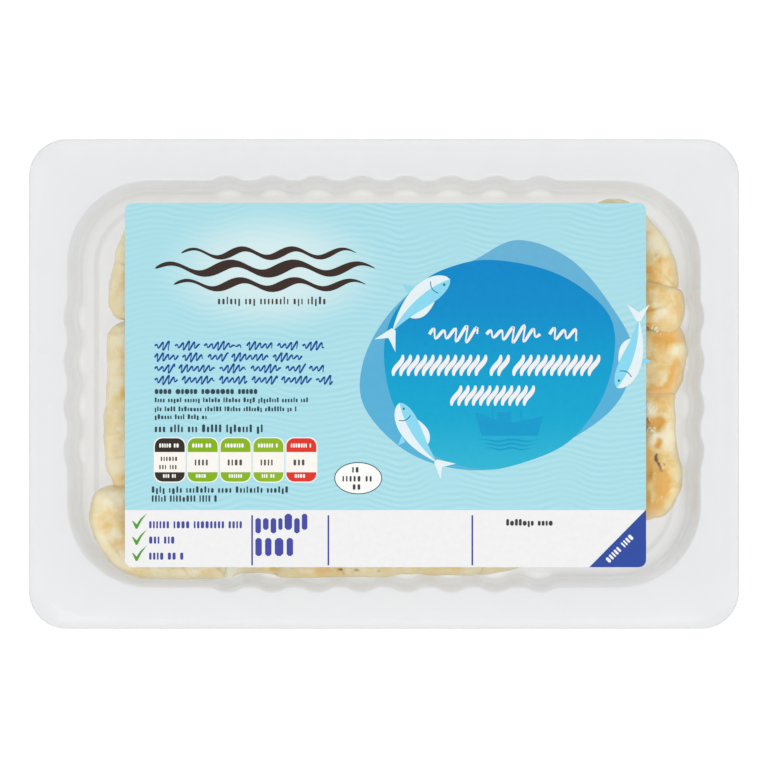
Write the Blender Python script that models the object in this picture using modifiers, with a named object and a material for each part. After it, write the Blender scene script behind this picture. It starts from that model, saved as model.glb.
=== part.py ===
"""A sealed tray pack of salted dried cod.

A clear thermoformed tray with a flat flange and fluted walls holds flat chunks of cod.
A clear film lies on the flange and a label lies on the film.
Metres, +Z up. The origin is the centre of the footprint, on the table.
"""

import math

import bmesh
import bpy
import numpy as np

# Driving dimensions.
PACK_LENGTH = 0.190      # outside of the flange along X
PACK_WIDTH = 0.131       # outside of the flange along Y
TRAY_HEIGHT = 0.024      # table to the flange's upper face
FLANGE_CORNER = 0.010    # radius of the flange's corners
PLASTIC = 0.0005         # wall thickness of the tray
WELL_LENGTH = 0.169      # the well's mouth along X, between the plain walls
WELL_WIDTH = 0.109       # the well's mouth along Y
WELL_CORNER = 0.020      # radius of the well's corners at the mouth
FLUTE_PITCH = 0.012      # one flute to the next
FLUTE_DEPTH = 0.0012     # how far a flute stands out beyond the plain wall
FLUTES_LONG = 8          # flutes on each long wall
FLUTES_SHORT = 4         # flutes on each short wall
GAP = 0.0003             # clearance between pieces that touch in the real pack
FILM = 0.0002            # thickness of the film
LABEL = 0.0002           # thickness of the label
LABEL_LENGTH = 0.1394
LABEL_WIDTH = 0.0974
LABEL_CORNER = 0.002
LABEL_SHIFT_X = 0.0004   # the label sits a little off the pack's centre
LABEL_SHIFT_Y = -0.0003

# How finely the outlines are divided.
STEPS_PER_FLUTE = 6
STEPS_PER_CORNER = 10
ROUND_STEPS = 8
SAME = 1e-6              # two unit vectors nearer than this are parallel

# The well's wall, from the flange down to the base. Each row is how far the wall has come in
# from the mouth's plain outline, its height, and how much of the flutes' depth is left.
WELL_PROFILE = (
    (-0.0010, TRAY_HEIGHT, 1.0),
    (0.0000, TRAY_HEIGHT - 0.0010, 1.0),
    (0.0029, TRAY_HEIGHT - 0.0150, 0.85),
    (0.0036, TRAY_HEIGHT - 0.0172, 0.35),
    (0.0052, TRAY_HEIGHT - 0.0186, 0.0),
    (0.0059, PLASTIC + 0.0015, 0.0),
    (0.0076, PLASTIC, 0.0),
)

# How near the cod comes to the wall: how far in it stays, and from what height up. The slope only
# ever eases upwards, so a straight facet between two heights can't cut through the ledge.
COD_REACH = (
    (0.0079, PLASTIC),
    (0.0064, PLASTIC + 0.0015),
    (0.0055, TRAY_HEIGHT - 0.0186),
    (0.0004, TRAY_HEIGHT),
)

# The cod, as seen from above: name, lowest and highest X, lowest and highest Y, top. Millimetres.
COD_PIECES = (
    ("cod_back_left", -74.5, -30.0, 16.8, 45.0, 15.5),
    ("cod_left", -75.5, -28.0, -26.0, 16.0, 16.5),
    ("cod_front_left", -79.5, -42.2, -52.5, -26.8, 17.0),
    ("cod_front_small", -41.4, -27.8, -51.8, -27.0, 14.5),
    ("cod_front_middle", -27.0, 24.0, -51.4, -14.0, 16.0),
    ("cod_front_right", 24.8, 48.2, -47.0, -14.0, 14.0),
    ("cod_middle", -27.2, 43.2, -13.2, 9.2, 15.0),
    ("cod_back_middle", -29.2, 35.2, 10.0, 46.5, 16.0),
    ("cod_back_right", 36.0, 78.6, 25.4, 45.5, 15.0),
    ("cod_right_chunk", 36.0, 80.4, 13.8, 24.6, 17.5),
    ("cod_right", 44.0, 81.0, -3.4, 13.0, 16.0),
    ("cod_right_flaky", 49.0, 80.2, -36.4, -4.2, 16.5),
)
MILLIMETRE = 0.001
COD_SEGMENTS = 18        # points round a piece
COD_RINGS = 8            # rings from its underside to its top
PLAN_SQUARENESS = 0.60   # 1 is an ellipse from above, smaller is nearer to a rectangle
SIDE_SQUARENESS = 0.45   # the same, from the side
PLAN_DENT = 0.07         # how deep the three hollows in a piece's outline are, as a share of its size
SWAY = 0.0012            # how far the seams between the pieces wander
SWAY_LENGTH = 0.045      # over what length they do
TOP_SLOPE = 0.0012       # how far a piece's top rises or falls towards its edge
RELIEF = 0.0009          # height of the swells on the pieces' tops
RELIEF_LENGTH = 0.022    # length of the swells


def collection_for(name):
    """Make a collection and link it to the scene."""
    collection = bpy.data.collections.new(name)
    bpy.context.scene.collection.children.link(collection)
    return collection


def plain_material(name, colour, roughness, alpha=1.0):
    """One Principled material of an even colour."""
    material = bpy.data.materials.new(name)
    material.use_nodes = True
    shader = material.node_tree.nodes["Principled BSDF"]
    shader.inputs["Base Color"].default_value = (*colour, 1.0)
    shader.inputs["Roughness"].default_value = roughness
    shader.inputs["Metallic"].default_value = 0.0
    shader.inputs["Alpha"].default_value = alpha
    material.diffuse_color = (*colour, alpha)
    return material


def add_object(name, data, material, collection, parent):
    """Link new geometry to the pack's collection, under its empty."""
    thing = bpy.data.objects.new(name, data)
    data.materials.append(material)
    collection.objects.link(thing)
    thing.parent = parent
    return thing


def side_stations(half_plain, flutes):
    """Places along one straight wall, from -half_plain to +half_plain, and the flutes' swell there.

    The swell of each flute is one wave of (1 - cos) / 2, so it is nothing where two flutes meet.
    """
    fluted = flutes * FLUTE_PITCH / 2
    steps = flutes * STEPS_PER_FLUTE
    inner = [(-fluted + 2 * fluted * k / steps) for k in range(steps + 1)]
    swell = [(1 - math.cos(2 * math.pi * k / STEPS_PER_FLUTE)) / 2 for k in range(steps + 1)]
    return [(-half_plain, 0.0), *zip(inner, swell), (half_plain, 0.0)]


def well_outline():
    """The mouth's plain outline, anticlockwise: arrays of points, outward normals and flute swell."""
    straight_x = WELL_LENGTH / 2 - WELL_CORNER
    straight_y = WELL_WIDTH / 2 - WELL_CORNER
    long_side = side_stations(straight_x, FLUTES_LONG)
    short_side = side_stations(straight_y, FLUTES_SHORT)
    walls = ((0, long_side), (90, short_side), (180, long_side), (270, short_side))
    points, normals, swells = [], [], []
    for turn, stations in walls:
        angle = math.radians(turn)
        along = np.array((math.cos(angle), math.sin(angle)))
        out = np.array((along[1], -along[0]))
        reach = WELL_WIDTH / 2 if turn % 180 == 0 else WELL_LENGTH / 2
        for place, swell in stations:
            points.append(along * place + out * reach)
            normals.append(out)
            swells.append(swell)
        centre = along * stations[-1][0] + out * (reach - WELL_CORNER)
        for k in range(1, STEPS_PER_CORNER):
            bend = math.radians(90 * k / STEPS_PER_CORNER)
            ray = out * math.cos(bend) + along * math.sin(bend)
            points.append(centre + ray * WELL_CORNER)
            normals.append(ray)
            swells.append(0.0)
    return np.array(points), np.array(normals), np.array(swells)


def flange_outline(points, normals):
    """The flange's edge, with one point for each point of the well's outline.

    A point beside a straight wall goes straight out to the edge. The points of a corner of the well
    share out the arc of the flange's own corner.
    """
    half = np.array((PACK_LENGTH / 2, PACK_WIDTH / 2))
    edge = []
    for point, ray in zip(points, normals):
        if max(abs(ray)) > 1 - SAME:
            edge.append(np.where(abs(ray) > 1 - SAME, ray * half, point))
            continue
        quadrant = np.sign(ray)
        bend = math.atan2(abs(ray[1]), abs(ray[0]))
        step = math.radians(90 / STEPS_PER_CORNER)
        bend = (bend - step) / (math.radians(90) - 2 * step) * math.radians(90)
        arc = np.array((math.cos(bend), math.sin(bend)))
        edge.append(quadrant * (half - FLANGE_CORNER + FLANGE_CORNER * arc))
    return np.array(edge)


def make_tray(collection, parent):
    """Loft the flange and the well as one open surface, and give it the plastic's thickness."""
    points, normals, swells = well_outline()
    count = len(points)
    rings = [np.column_stack((flange_outline(points, normals), np.full(count, TRAY_HEIGHT)))]
    for inset, height, flute_share in WELL_PROFILE:
        shift = swells * FLUTE_DEPTH * flute_share - inset
        ring = points + normals * shift[:, None]
        rings.append(np.column_stack((ring, np.full(count, height))))

    shape = bmesh.new()
    rows = [[shape.verts.new(place) for place in ring] for ring in rings]
    for outer, inner in zip(rows, rows[1:]):
        for k in range(count):
            after = (k + 1) % count
            shape.faces.new((outer[k], outer[after], inner[after], inner[k]))
    shape.faces.new(rows[-1])
    mesh = bpy.data.meshes.new("tray")
    shape.to_mesh(mesh)
    shape.free()

    material = plain_material("clear_tray_plastic", (0.82, 0.83, 0.83), 0.12, alpha=0.35)
    tray = add_object("tray", mesh, material, collection, parent)
    wall = tray.modifiers.new("plastic thickness", "SOLIDIFY")
    wall.thickness = PLASTIC
    wall.offset = -1.0
    return tray


def rounded_sheet(name, length, width, radius, thickness):
    """A flat sheet with round corners: a filled 2D curve, extruded by half its thickness each way."""
    curve = bpy.data.curves.new(name, "CURVE")
    curve.dimensions = "2D"
    curve.fill_mode = "BOTH"
    curve.extrude = thickness / 2
    corners = ((1, 1, 0), (-1, 1, 90), (-1, -1, 180), (1, -1, 270))
    outline = []
    for side_x, side_y, turn in corners:
        for k in range(ROUND_STEPS + 1):
            angle = math.radians(turn + 90 * k / ROUND_STEPS)
            x = side_x * (length / 2 - radius) + radius * math.cos(angle)
            y = side_y * (width / 2 - radius) + radius * math.sin(angle)
            outline.append((x, y, 0.0, 1.0))
    spline = curve.splines.new("POLY")
    spline.points.add(len(outline) - 1)
    for point, place in zip(spline.points, outline):
        point.co = place
    spline.use_cyclic_u = True
    return curve


def make_film(collection, parent):
    """The clear film covers the whole flange."""
    curve = rounded_sheet("lid_film", PACK_LENGTH, PACK_WIDTH, FLANGE_CORNER, FILM)
    material = plain_material("clear_film", (0.92, 0.93, 0.93), 0.08, alpha=0.2)
    film = add_object("lid_film", curve, material, collection, parent)
    film.location.z = TRAY_HEIGHT + GAP + FILM / 2
    return film


def make_label(collection, parent):
    """The label lies on the film, just off its centre."""
    curve = rounded_sheet("label", LABEL_LENGTH, LABEL_WIDTH, LABEL_CORNER, LABEL)
    material = plain_material("label_paper", (0.43, 0.75, 0.81), 0.35)
    label = add_object("label", curve, material, collection, parent)
    height = TRAY_HEIGHT + 2 * GAP + FILM + LABEL / 2
    label.location = (LABEL_SHIFT_X, LABEL_SHIFT_Y, height)
    return label


def signed_power(value, power):
    """Raise the size of each number to a power and keep its sign."""
    return np.sign(value) * np.abs(value) ** power


def keep_in_well(place):
    """Push points that lie past the cod's reach back to it, level by level."""
    insets, heights = zip(*COD_REACH)
    inset = np.interp(place[:, 2], heights, insets)
    radius = WELL_CORNER - inset
    half = np.column_stack((WELL_LENGTH / 2 - inset, WELL_WIDTH / 2 - inset))
    core = half - radius[:, None]
    size = np.abs(place[:, :2])
    nearest = np.minimum(size, core)
    beyond = size - nearest
    distance = np.hypot(beyond[:, 0], beyond[:, 1])
    share = np.minimum(1.0, radius / np.maximum(distance, 1e-9))
    kept = nearest + beyond * share[:, None]
    return np.column_stack((kept * np.sign(place[:, :2]), place[:, 2]))


def make_cod_piece(turn, row, collection, parent):
    """One chunk: a sphere made into a flat squarish lump.

    Each direction cosine is raised to a power below 1, which squares the lump, and scaled to the
    piece's half sizes, less three shallow hollows round its outline. Its top slopes to one side and
    swells in short waves. Long waves in X and Y then sway the seams between neighbours, the same
    for all pieces so that they never meet. The turn sets where the hollows and the slope face.
    """
    name, x_low, x_high, y_low, y_high, top = row
    floor = PLASTIC + GAP
    half = np.array((x_high - x_low, y_high - y_low)) * MILLIMETRE / 2
    centre = np.array((x_high + x_low, y_high + y_low)) * MILLIMETRE / 2
    half_height = (top * MILLIMETRE - floor) / 2

    shape = bmesh.new()
    bmesh.ops.create_uvsphere(shape, u_segments=COD_SEGMENTS, v_segments=COD_RINGS, radius=1.0)
    mesh = bpy.data.meshes.new(name)
    shape.to_mesh(mesh)
    shape.free()
    ball = np.empty(len(mesh.vertices) * 3, dtype=np.float32)
    mesh.vertices.foreach_get("co", ball)
    ball = ball.reshape(-1, 3).astype(float)

    level = np.hypot(ball[:, 0], ball[:, 1])
    ray = ball[:, :2] / np.maximum(level, 1e-9)[:, None]
    hollow = (1 + np.sin(3 * np.arctan2(ray[:, 1], ray[:, 0]) + turn)) / 2
    reach = level ** SIDE_SQUARENESS * (1 - PLAN_DENT * hollow)
    plan = signed_power(ray, PLAN_SQUARENESS) * reach[:, None]
    x, y = (centre + plan * half).T
    rise = signed_power(ball[:, 2], SIDE_SQUARENESS)
    z = floor + half_height * (1 + rise)

    ripple = 2 * math.pi / RELIEF_LENGTH
    swell = RELIEF * np.sin(ripple * x + turn) * np.sin(ripple * y - turn)
    slope = TOP_SLOPE * (plan[:, 0] * math.cos(turn) + plan[:, 1] * math.sin(turn))
    z += (swell + slope) * np.maximum(rise, 0.0)
    wave = 2 * math.pi / SWAY_LENGTH
    place = np.column_stack((x + SWAY * np.sin(wave * y + 0.7), y + SWAY * np.sin(wave * x), z))
    place = keep_in_well(place)
    mesh.vertices.foreach_set("co", place.astype(np.float32).ravel())
    mesh.update()
    mesh.shade_smooth()

    material = plain_material(name + "_flesh", (0.74, 0.59, 0.37), 0.45)
    return add_object(name, mesh, material, collection, parent)


def main():
    for thing in list(bpy.data.objects):
        bpy.data.objects.remove(thing, do_unlink=True)

    collection = collection_for("salted_dried_cod_pack")
    pack = bpy.data.objects.new("pack_origin", None)
    collection.objects.link(pack)
    make_tray(collection, pack)
    make_film(collection, pack)
    make_label(collection, pack)
    for turn, row in enumerate(COD_PIECES):
        make_cod_piece(turn, row, collection, pack)
    bpy.context.view_layer.update()


main()
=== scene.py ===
# %% [markdown]
# # A sealed tray pack of salted dried cod
#
# The pack is four things on top of each other: a clear thermoformed tray, chunks of salt fish in
# it, a clear film sealed over it, and a printed label on the film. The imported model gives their
# sizes and places. This lesson replaces each of those plain solids with a finely shaped surface,
# worked out with numpy, and gives each a procedural material.

import math

import bpy
import numpy as np
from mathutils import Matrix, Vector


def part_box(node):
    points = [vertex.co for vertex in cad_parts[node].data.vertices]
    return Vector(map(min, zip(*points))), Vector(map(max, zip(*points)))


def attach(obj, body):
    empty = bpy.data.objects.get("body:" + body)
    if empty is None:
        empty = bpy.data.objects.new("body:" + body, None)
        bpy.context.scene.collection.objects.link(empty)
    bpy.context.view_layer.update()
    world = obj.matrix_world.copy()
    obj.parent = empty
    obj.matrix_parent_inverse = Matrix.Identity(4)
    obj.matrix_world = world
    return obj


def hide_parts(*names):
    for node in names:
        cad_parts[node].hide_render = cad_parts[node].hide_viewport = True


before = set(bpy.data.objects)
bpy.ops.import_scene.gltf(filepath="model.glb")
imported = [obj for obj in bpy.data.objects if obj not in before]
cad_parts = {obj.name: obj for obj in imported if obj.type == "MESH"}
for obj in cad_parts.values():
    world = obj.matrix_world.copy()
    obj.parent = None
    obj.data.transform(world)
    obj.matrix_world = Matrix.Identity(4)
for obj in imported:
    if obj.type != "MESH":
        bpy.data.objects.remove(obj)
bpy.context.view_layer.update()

# %% [markdown]
# ## Small helpers
#
# Every shape below is a grid of points: one direction of the grid runs round the piece and the
# other runs across it. numpy computes all the points at once, and Blender only has to be told
# which points make a face. Sizes are written in millimetres, and `MM` turns them into metres.

# %% Units and noise
MM = 0.001


def smooth_step(value):
    """0 below 0, 1 above 1, and 3v^2 - 2v^3 between, so both ends are level."""
    value = np.clip(value, 0.0, 1.0)
    return value * value * (3.0 - 2.0 * value)


def soft_noise(places, size, seed):
    """Smooth noise from -1 to 1: random numbers on a lattice of cells of this size, blended.

    Each point's cell corners are weighted by the smooth step of its place within the cell.
    """
    table = np.random.RandomState(seed).uniform(-1.0, 1.0, (32, 32, 32))
    scaled = np.asarray(places) / size + 1000.0
    cell = np.floor(scaled).astype(int)
    blend = smooth_step(scaled - cell)
    total = np.zeros(len(scaled))
    for corner in np.ndindex(2, 2, 2):
        weight = np.prod(np.where(corner, blend, 1.0 - blend), axis=1)
        total += weight * table[tuple(((cell + corner) % 32).T)]
    return total


# %% Grids of points into meshes
def grid_faces(rows, columns, wrap=True):
    """Quads between neighbouring rows and columns of a grid of points, anticlockwise."""
    here = np.arange(rows * columns).reshape(rows, columns)
    after = np.roll(here, -1, axis=1)
    if not wrap:
        here, after = here[:, :-1], after[:, :-1]
    return np.stack((here[:-1], after[:-1], after[1:], here[1:]), axis=-1).reshape(-1, 4)


def new_object(name, points, faces):
    """Put points and faces into a new mesh object, with smooth shading."""
    mesh = bpy.data.meshes.new(name)
    mesh.from_pydata(np.asarray(points).tolist(), [], [f for part in faces for f in part.tolist()])
    mesh.update()
    mesh.shade_smooth()
    thing = bpy.data.objects.new(name, mesh)
    bpy.context.scene.collection.objects.link(thing)
    return thing


def closed_skin(name, rings):
    """A closed surface from rings of points, from the bottom pole to the top pole.

    The first and last ring shrink to their mean point, and a fan of triangles joins each pole to
    the ring beside it. Rings run anticlockwise seen from above, so the faces point outwards.
    """
    rings = np.asarray(rings)
    count = rings.shape[1]
    body = rings[1:-1].reshape(-1, 3)
    points = np.vstack((body, rings[0].mean(axis=0), rings[-1].mean(axis=0)))
    first = np.arange(count)
    last = first + len(body) - count
    low = np.column_stack((np.full(count, len(body)), np.roll(first, -1), first))
    high = np.column_stack((np.full(count, len(body) + 1), last, np.roll(last, -1)))
    return new_object(name, points, (grid_faces(len(rings) - 2, count), low, high))


def paint(piece, key, values):
    """Store one number for each vertex, for a material to read by its name."""
    layer = piece.data.attributes.new(key, "FLOAT", "POINT")
    layer.data.foreach_set("value", np.asarray(values, np.float32))


def finish_piece(piece, material, slot, *nodes):
    """Give a piece its material, ride it on the pack and hide the solids it stands for. The slot is
    not used.
    """
    piece.data.materials.append(material)
    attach(piece, "root")
    if nodes:
        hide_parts(*nodes)
    print(piece.name, "has", len(piece.data.polygons), "faces")


# %% Nodes and colours
def add(tree, kind, inputs=(), **settings):
    """Add one node with its settings, and link or set its inputs by name or number."""
    node = tree.nodes.new("ShaderNode" + kind)
    for key, value in settings.items():
        setattr(node, key, value)
    for key, value in dict(inputs).items():
        if isinstance(value, bpy.types.NodeSocket):
            tree.links.new(value, node.inputs[key])
        else:
            node.inputs[key].default_value = value
    return node


def tint(code):
    """A #rrggbb colour as linear red, green, blue and alpha."""
    share = np.array([int(code[k:k + 2], 16) for k in (1, 3, 5)]) / 255.0
    linear = np.where(share <= 0.04045, share / 12.92, ((share + 0.055) / 1.055) ** 2.4)
    return (*linear.tolist(), 1.0)


def new_material(name):
    """A new node material, its tree and its Principled shader."""
    material = bpy.data.materials.new(name)
    material.use_nodes = True
    tree = material.node_tree
    return material, tree, tree.nodes["Principled BSDF"]


# %% [markdown]
# ## The camera and the light
#
# The pack is looked at from straight above, from a metre away through a long lens, so that its
# sides hardly show. It lies on a light table, a white sheet that shines a little by itself, which
# keeps the ground white and the shadow faint. Four soft boxes stand round it, sixty to seventy
# degrees up, with the strongest at the front, and the sky is dim. The flat film mirrors only what
# is straight above it, and nothing bright is there, so the print keeps its deep blues, and only
# the curved walls and the moist flesh catch a shine.

# %% Camera, lamps and light table
CAMERA_HEIGHT = 1.0      # metres from the flange to the lens
PICTURE_WIDTH = 0.2055   # metres of the flange's plane that the picture takes in
SENSOR = 36.0            # millimetres, Blender's usual sensor

flange_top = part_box("tray")[1].z
camera_data = bpy.data.cameras.new("camera")
camera_data.sensor_width = SENSOR
camera_data.lens = SENSOR * CAMERA_HEIGHT / PICTURE_WIDTH
camera = bpy.data.objects.new("camera", camera_data)
camera.location = (0.0, 0.0, flange_top + CAMERA_HEIGHT)
bpy.context.scene.collection.objects.link(camera)
bpy.context.scene.camera = camera

SOFT_BOXES = (           # place in metres, width in metres, watts
    ("left", (-0.60, 0.10, 1.20), 0.6, 3.55),
    ("right", (0.70, -0.10, 1.15), 0.6, 3.85),
    ("back", (0.10, 0.70, 1.15), 0.6, 1.75),
    ("front", (-0.05, -0.48, 1.30), 0.6, 5.8),
)
for side, place, size, power in SOFT_BOXES:
    data = bpy.data.lights.new("soft box " + side, "AREA")
    data.size = size
    data.energy = power
    lamp = bpy.data.objects.new("soft box " + side, data)
    lamp.location = place
    lamp.rotation_euler = (-lamp.location).to_track_quat("-Z", "Y").to_euler()
    bpy.context.scene.collection.objects.link(lamp)

world = bpy.data.worlds.new("dim white room")
world.use_nodes = True
world.node_tree.nodes["Background"].inputs["Color"].default_value = (1.0, 1.0, 1.0, 1.0)
world.node_tree.nodes["Background"].inputs["Strength"].default_value = 0.37
bpy.context.scene.world = world
bpy.context.scene.view_settings.view_transform = "Standard"

FLOOR_HALF = 3.0         # metres
FLOOR_LEVEL = -0.0002    # a hair below the tray's base, so that the two never flicker
ends = (-FLOOR_HALF, FLOOR_HALF)
corners = [(x, y, FLOOR_LEVEL) for y in ends for x in ends]
floor = new_object("floor", corners, (np.array([[0, 1, 3, 2]]),))
floor_material, tree, shader = new_material("light table")
shader.inputs["Base Color"].default_value = (0.2, 0.2, 0.2, 1.0)
shader.inputs["Roughness"].default_value = 0.9
shader.inputs["Emission Color"].default_value = (1.0, 1.0, 1.0, 1.0)
shader.inputs["Emission Strength"].default_value = 0.85
floor.data.materials.append(floor_material)
print("camera lens", round(camera_data.lens), "mm, and", len(SOFT_BOXES), "soft boxes")

# %% [markdown]
# ## The tray: one wall carried round a rounded rectangle
#
# A thermoformed tray starts as a flat clear sheet that is heated and sucked into a mould. What
# comes out has one wall, drawn out thin, with soft bends everywhere. So the tray is made as one
# profile, from the edge of the flange down to the base, carried round the outline of its mouth.
# The flutes are waves that push the wall outwards along the middle of each side, and they die out
# in rounded soles above a small ledge. The inner and the outer skin are one closed surface.

# %% The outline of the mouth
tray_low, tray_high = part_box("tray")
PACK_HALF = np.array((tray_high.x - tray_low.x, tray_high.y - tray_low.y)) / 2
FLANGE_WIDTH = np.array((10.35, 11.2)) * MM   # flange beyond the plain mouth, along X and Y
MOUTH_HALF = PACK_HALF - FLANGE_WIDTH
MOUTH_CORNER = 22.0 * MM
FLANGE_CORNER = 10.0 * MM
FLUTE_PITCH = 12.0 * MM
FLUTE_DEPTH = (1.3 * MM, 0.95 * MM)   # on each long side, on each short side
FLUTE_FOOT = 4.0 * MM    # from a flute's crest to where its dome meets the plain wall
FLUTE_FULLNESS = 0.9     # a power, under 1 for a dome that is fuller than a parabola
FLUTES = (8, 4)          # on each long side, on each short side
SIDE_POINTS = (192, 96)  # points along each long side, each short side
CORNER_POINTS = 40


def flute_swell(place, side):
    """How far each place along a side stands out: a dome per flute, with a flat between domes.

    The dome falls from its full depth on the crest as one minus the square of the distance,
    raised to its fullness, and is 0 beyond its foot.
    """
    half = FLUTES[side] * FLUTE_PITCH / 2
    from_crest = (place + half) % FLUTE_PITCH - FLUTE_PITCH / 2
    dome = np.clip(1.0 - (from_crest / FLUTE_FOOT) ** 2, 0.0, 1.0) ** FLUTE_FULLNESS
    return np.where(np.abs(place) < half, dome * FLUTE_DEPTH[side], 0.0)


def tray_outline():
    """Points round the mouth, outward normals, flute swell, and the flange's edge beside each.

    Each quarter is a straight side and then a quarter circle. On the side, the flange's edge is
    straight outside the point. Round the corner, the flange's own corner is shared out by length.
    """
    mouth, normal, swell, edge = [], [], [], []
    for quarter in range(4):
        side = quarter % 2
        angle = quarter * math.pi / 2
        along = np.array((math.cos(angle), math.sin(angle)))
        out = np.array((along[1], -along[0]))
        reach = MOUTH_HALF[1 - side]
        half = MOUTH_HALF[side] - MOUTH_CORNER
        place = np.linspace(-half, half, SIDE_POINTS[side], endpoint=False)[:, None]
        mouth.append(along * place + out * reach)
        normal.append(np.tile(out, (len(place), 1)))
        swell.append(flute_swell(place[:, 0], side))
        edge.append(along * place + out * PACK_HALF[1 - side])

        bend = np.linspace(0.0, np.pi / 2, CORNER_POINTS, endpoint=False)[:, None]
        ray = out * np.cos(bend) + along * np.sin(bend)
        mouth.append(along * half + out * (reach - MOUTH_CORNER) + ray * MOUTH_CORNER)
        normal.append(ray)
        swell.append(np.zeros(len(bend)))
        turn = np.linspace(0.0, np.pi / 2, 33)
        centre = np.array((PACK_HALF[side], PACK_HALF[1 - side])) - FLANGE_CORNER
        far = centre[0] + FLANGE_CORNER * np.sin(turn)
        wide = centre[1] + FLANGE_CORNER * np.cos(turn)
        far = np.concatenate(([half], far, [PACK_HALF[side]]))
        wide = np.concatenate(([PACK_HALF[1 - side]], wide, [reach - MOUTH_CORNER]))
        length = np.concatenate(([0.0], np.cumsum(np.hypot(np.diff(far), np.diff(wide)))))
        share = bend[:, 0] / (np.pi / 2) * length[-1]
        edge.append(
            np.interp(share, length, far)[:, None] * along
            + np.interp(share, length, wide)[:, None] * out
        )
    return [np.concatenate(part) for part in (mouth, normal, swell, edge)]


mouth, mouth_normal, mouth_swell, flange_edge = tray_outline()
print("the mouth's outline has", len(mouth), "points")

# %% [markdown]
# The profile is drawn as a few straight pieces: the flange, the fluted wall, the soles of the
# flutes, the ledge, the foot and the base. A bevel could round its corners one by one. Averaging
# the whole line along its own length rounds them all at once, as a stretched sheet does.

# %% The profile of the wall
PLASTIC = 0.45 * MM
BEND = 0.7 * MM          # how much of the profile's length each bend is spread over
STEP = 0.05 * MM         # how finely the profile is divided before it is averaged
TURN_LENGTH = 3.0 * MM   # the length that one radian of turning counts for when points are placed
# Millimetres: how far in from the plain mouth, how far below the flange, share of the flutes left.
WALL = np.array((
    (-2.4, 0.0, 1.0),
    (-0.2, 0.0, 1.0),
    (0.3, 0.8, 1.0),
    (1.5, 7.5, 0.98),
    (2.4, 14.6, 0.92),
    (2.9, 16.2, 0.75),
    (3.5, 17.0, 0.15),
    (3.9, 17.5, 0.0),
    (5.9, 18.7, 0.0),
    (6.7, 22.4, 0.0),
    (8.2, 23.5, 0.0),
    (10.5, 23.5, 0.0),
))


def soften(path, radius, count):
    """Round a polyline's corners, and place points more closely where it bends.

    The path is divided evenly and averaged along its length with a bell-shaped window. Its points
    are then spaced by length plus a share for every bit of turning.
    """
    length = np.concatenate(([0.0], np.cumsum(np.hypot(*np.diff(path[:, :2], axis=0).T))))
    even = np.arange(0.0, length[-1], STEP)
    fine = np.column_stack([np.interp(even, length, column) for column in path.T])
    window = np.hanning(int(2 * radius / STEP) + 3)
    window /= window.sum()
    pad = len(window) // 2
    padded = np.pad(fine, ((pad, pad), (0, 0)), mode="reflect", reflect_type="odd")
    soft = np.column_stack([np.convolve(column, window, "valid") for column in padded.T])
    move = np.diff(soft[:, :2], axis=0)
    turning = np.abs(np.diff(np.unwrap(np.arctan2(move[:, 1], move[:, 0]))))
    measure = np.concatenate(([0.0], np.cumsum(np.hypot(*move.T))))
    measure[2:] += np.cumsum(turning) * TURN_LENGTH
    spots = np.linspace(0.0, measure[-1], count)
    return np.column_stack([np.interp(spots, measure, column) for column in soft.T])


inner = soften(WALL * (MM, MM, 1.0), BEND, 50)
slope = np.gradient(inner[:, :2], axis=0)
slope /= np.hypot(*slope.T)[:, None]
outer = inner.copy()
# The outer skin lies one thickness of plastic outside the inner one and below it.
outer[:, 0] -= slope[:, 1] * PLASTIC
outer[:, 1] += slope[:, 0] * PLASTIC
print("the profile has", len(inner), "points on each skin")


# %% The tray's skin
EDGE_INSET = 0.3 * MM    # how far the flange's rounded rim draws in above and below its edge
# Shares of the way to the next ring, where plain rings fill the base and the flange.
UNDER_BASE, OVER_BASE = (0.0, 0.25, 0.5, 0.75, 0.92), (0.08, 0.25, 0.5, 0.75, 1.0)
UNDER_FLANGE, OVER_FLANGE = (0.35, 0.7), (0.3, 0.65)


def wall_ring(row):
    """The ring of points at one row of the profile: inset, depth below the flange, flute share."""
    shift = mouth_swell * row[2] - row[0]
    flat = mouth + mouth_normal * shift[:, None]
    return np.column_stack((flat, np.full(len(flat), flange_top - row[1])))


def between(ring, other, share):
    """The ring that lies this share of the way from one ring to another."""
    return ring + (other - ring) * share


edge_top = np.column_stack((flange_edge, np.full(len(flange_edge), flange_top)))
edge_low = edge_top - (0.0, 0.0, PLASTIC)
inward = 1.0 - np.array((EDGE_INSET, EDGE_INSET, 0.0)) / PACK_HALF.mean()
out_skin = [wall_ring(row) for row in outer[::-1]]
in_skin = [wall_ring(row) for row in inner]
base_low = out_skin[0].mean(axis=0)
base_top = in_skin[-1].mean(axis=0)
rings = [
    *(between(base_low, out_skin[0], share) for share in UNDER_BASE),
    *out_skin,
    *(between(out_skin[-1], edge_low * inward, share) for share in UNDER_FLANGE),
    edge_low * inward,
    (edge_low + edge_top) / 2,
    edge_top * inward,
    *(between(edge_top * inward, in_skin[0], share) for share in OVER_FLANGE),
    *in_skin,
    *(between(in_skin[-1], base_top, share) for share in OVER_BASE),
]
tray = closed_skin("clear_tray", rings)

# %% [markdown]
# ## Clear plastic
#
# Thin clear plastic shows what is behind it, and more so where it is looked at squarely. Along a
# steep wall the eye looks through much more plastic, so the wall reads as pale grey. A shader that
# mixes Transparent with a glossy pale surface does this: Layer Weight gives the mix, from a faint
# haze where the wall faces the eye to about twice as much where it is seen edge on.


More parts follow.
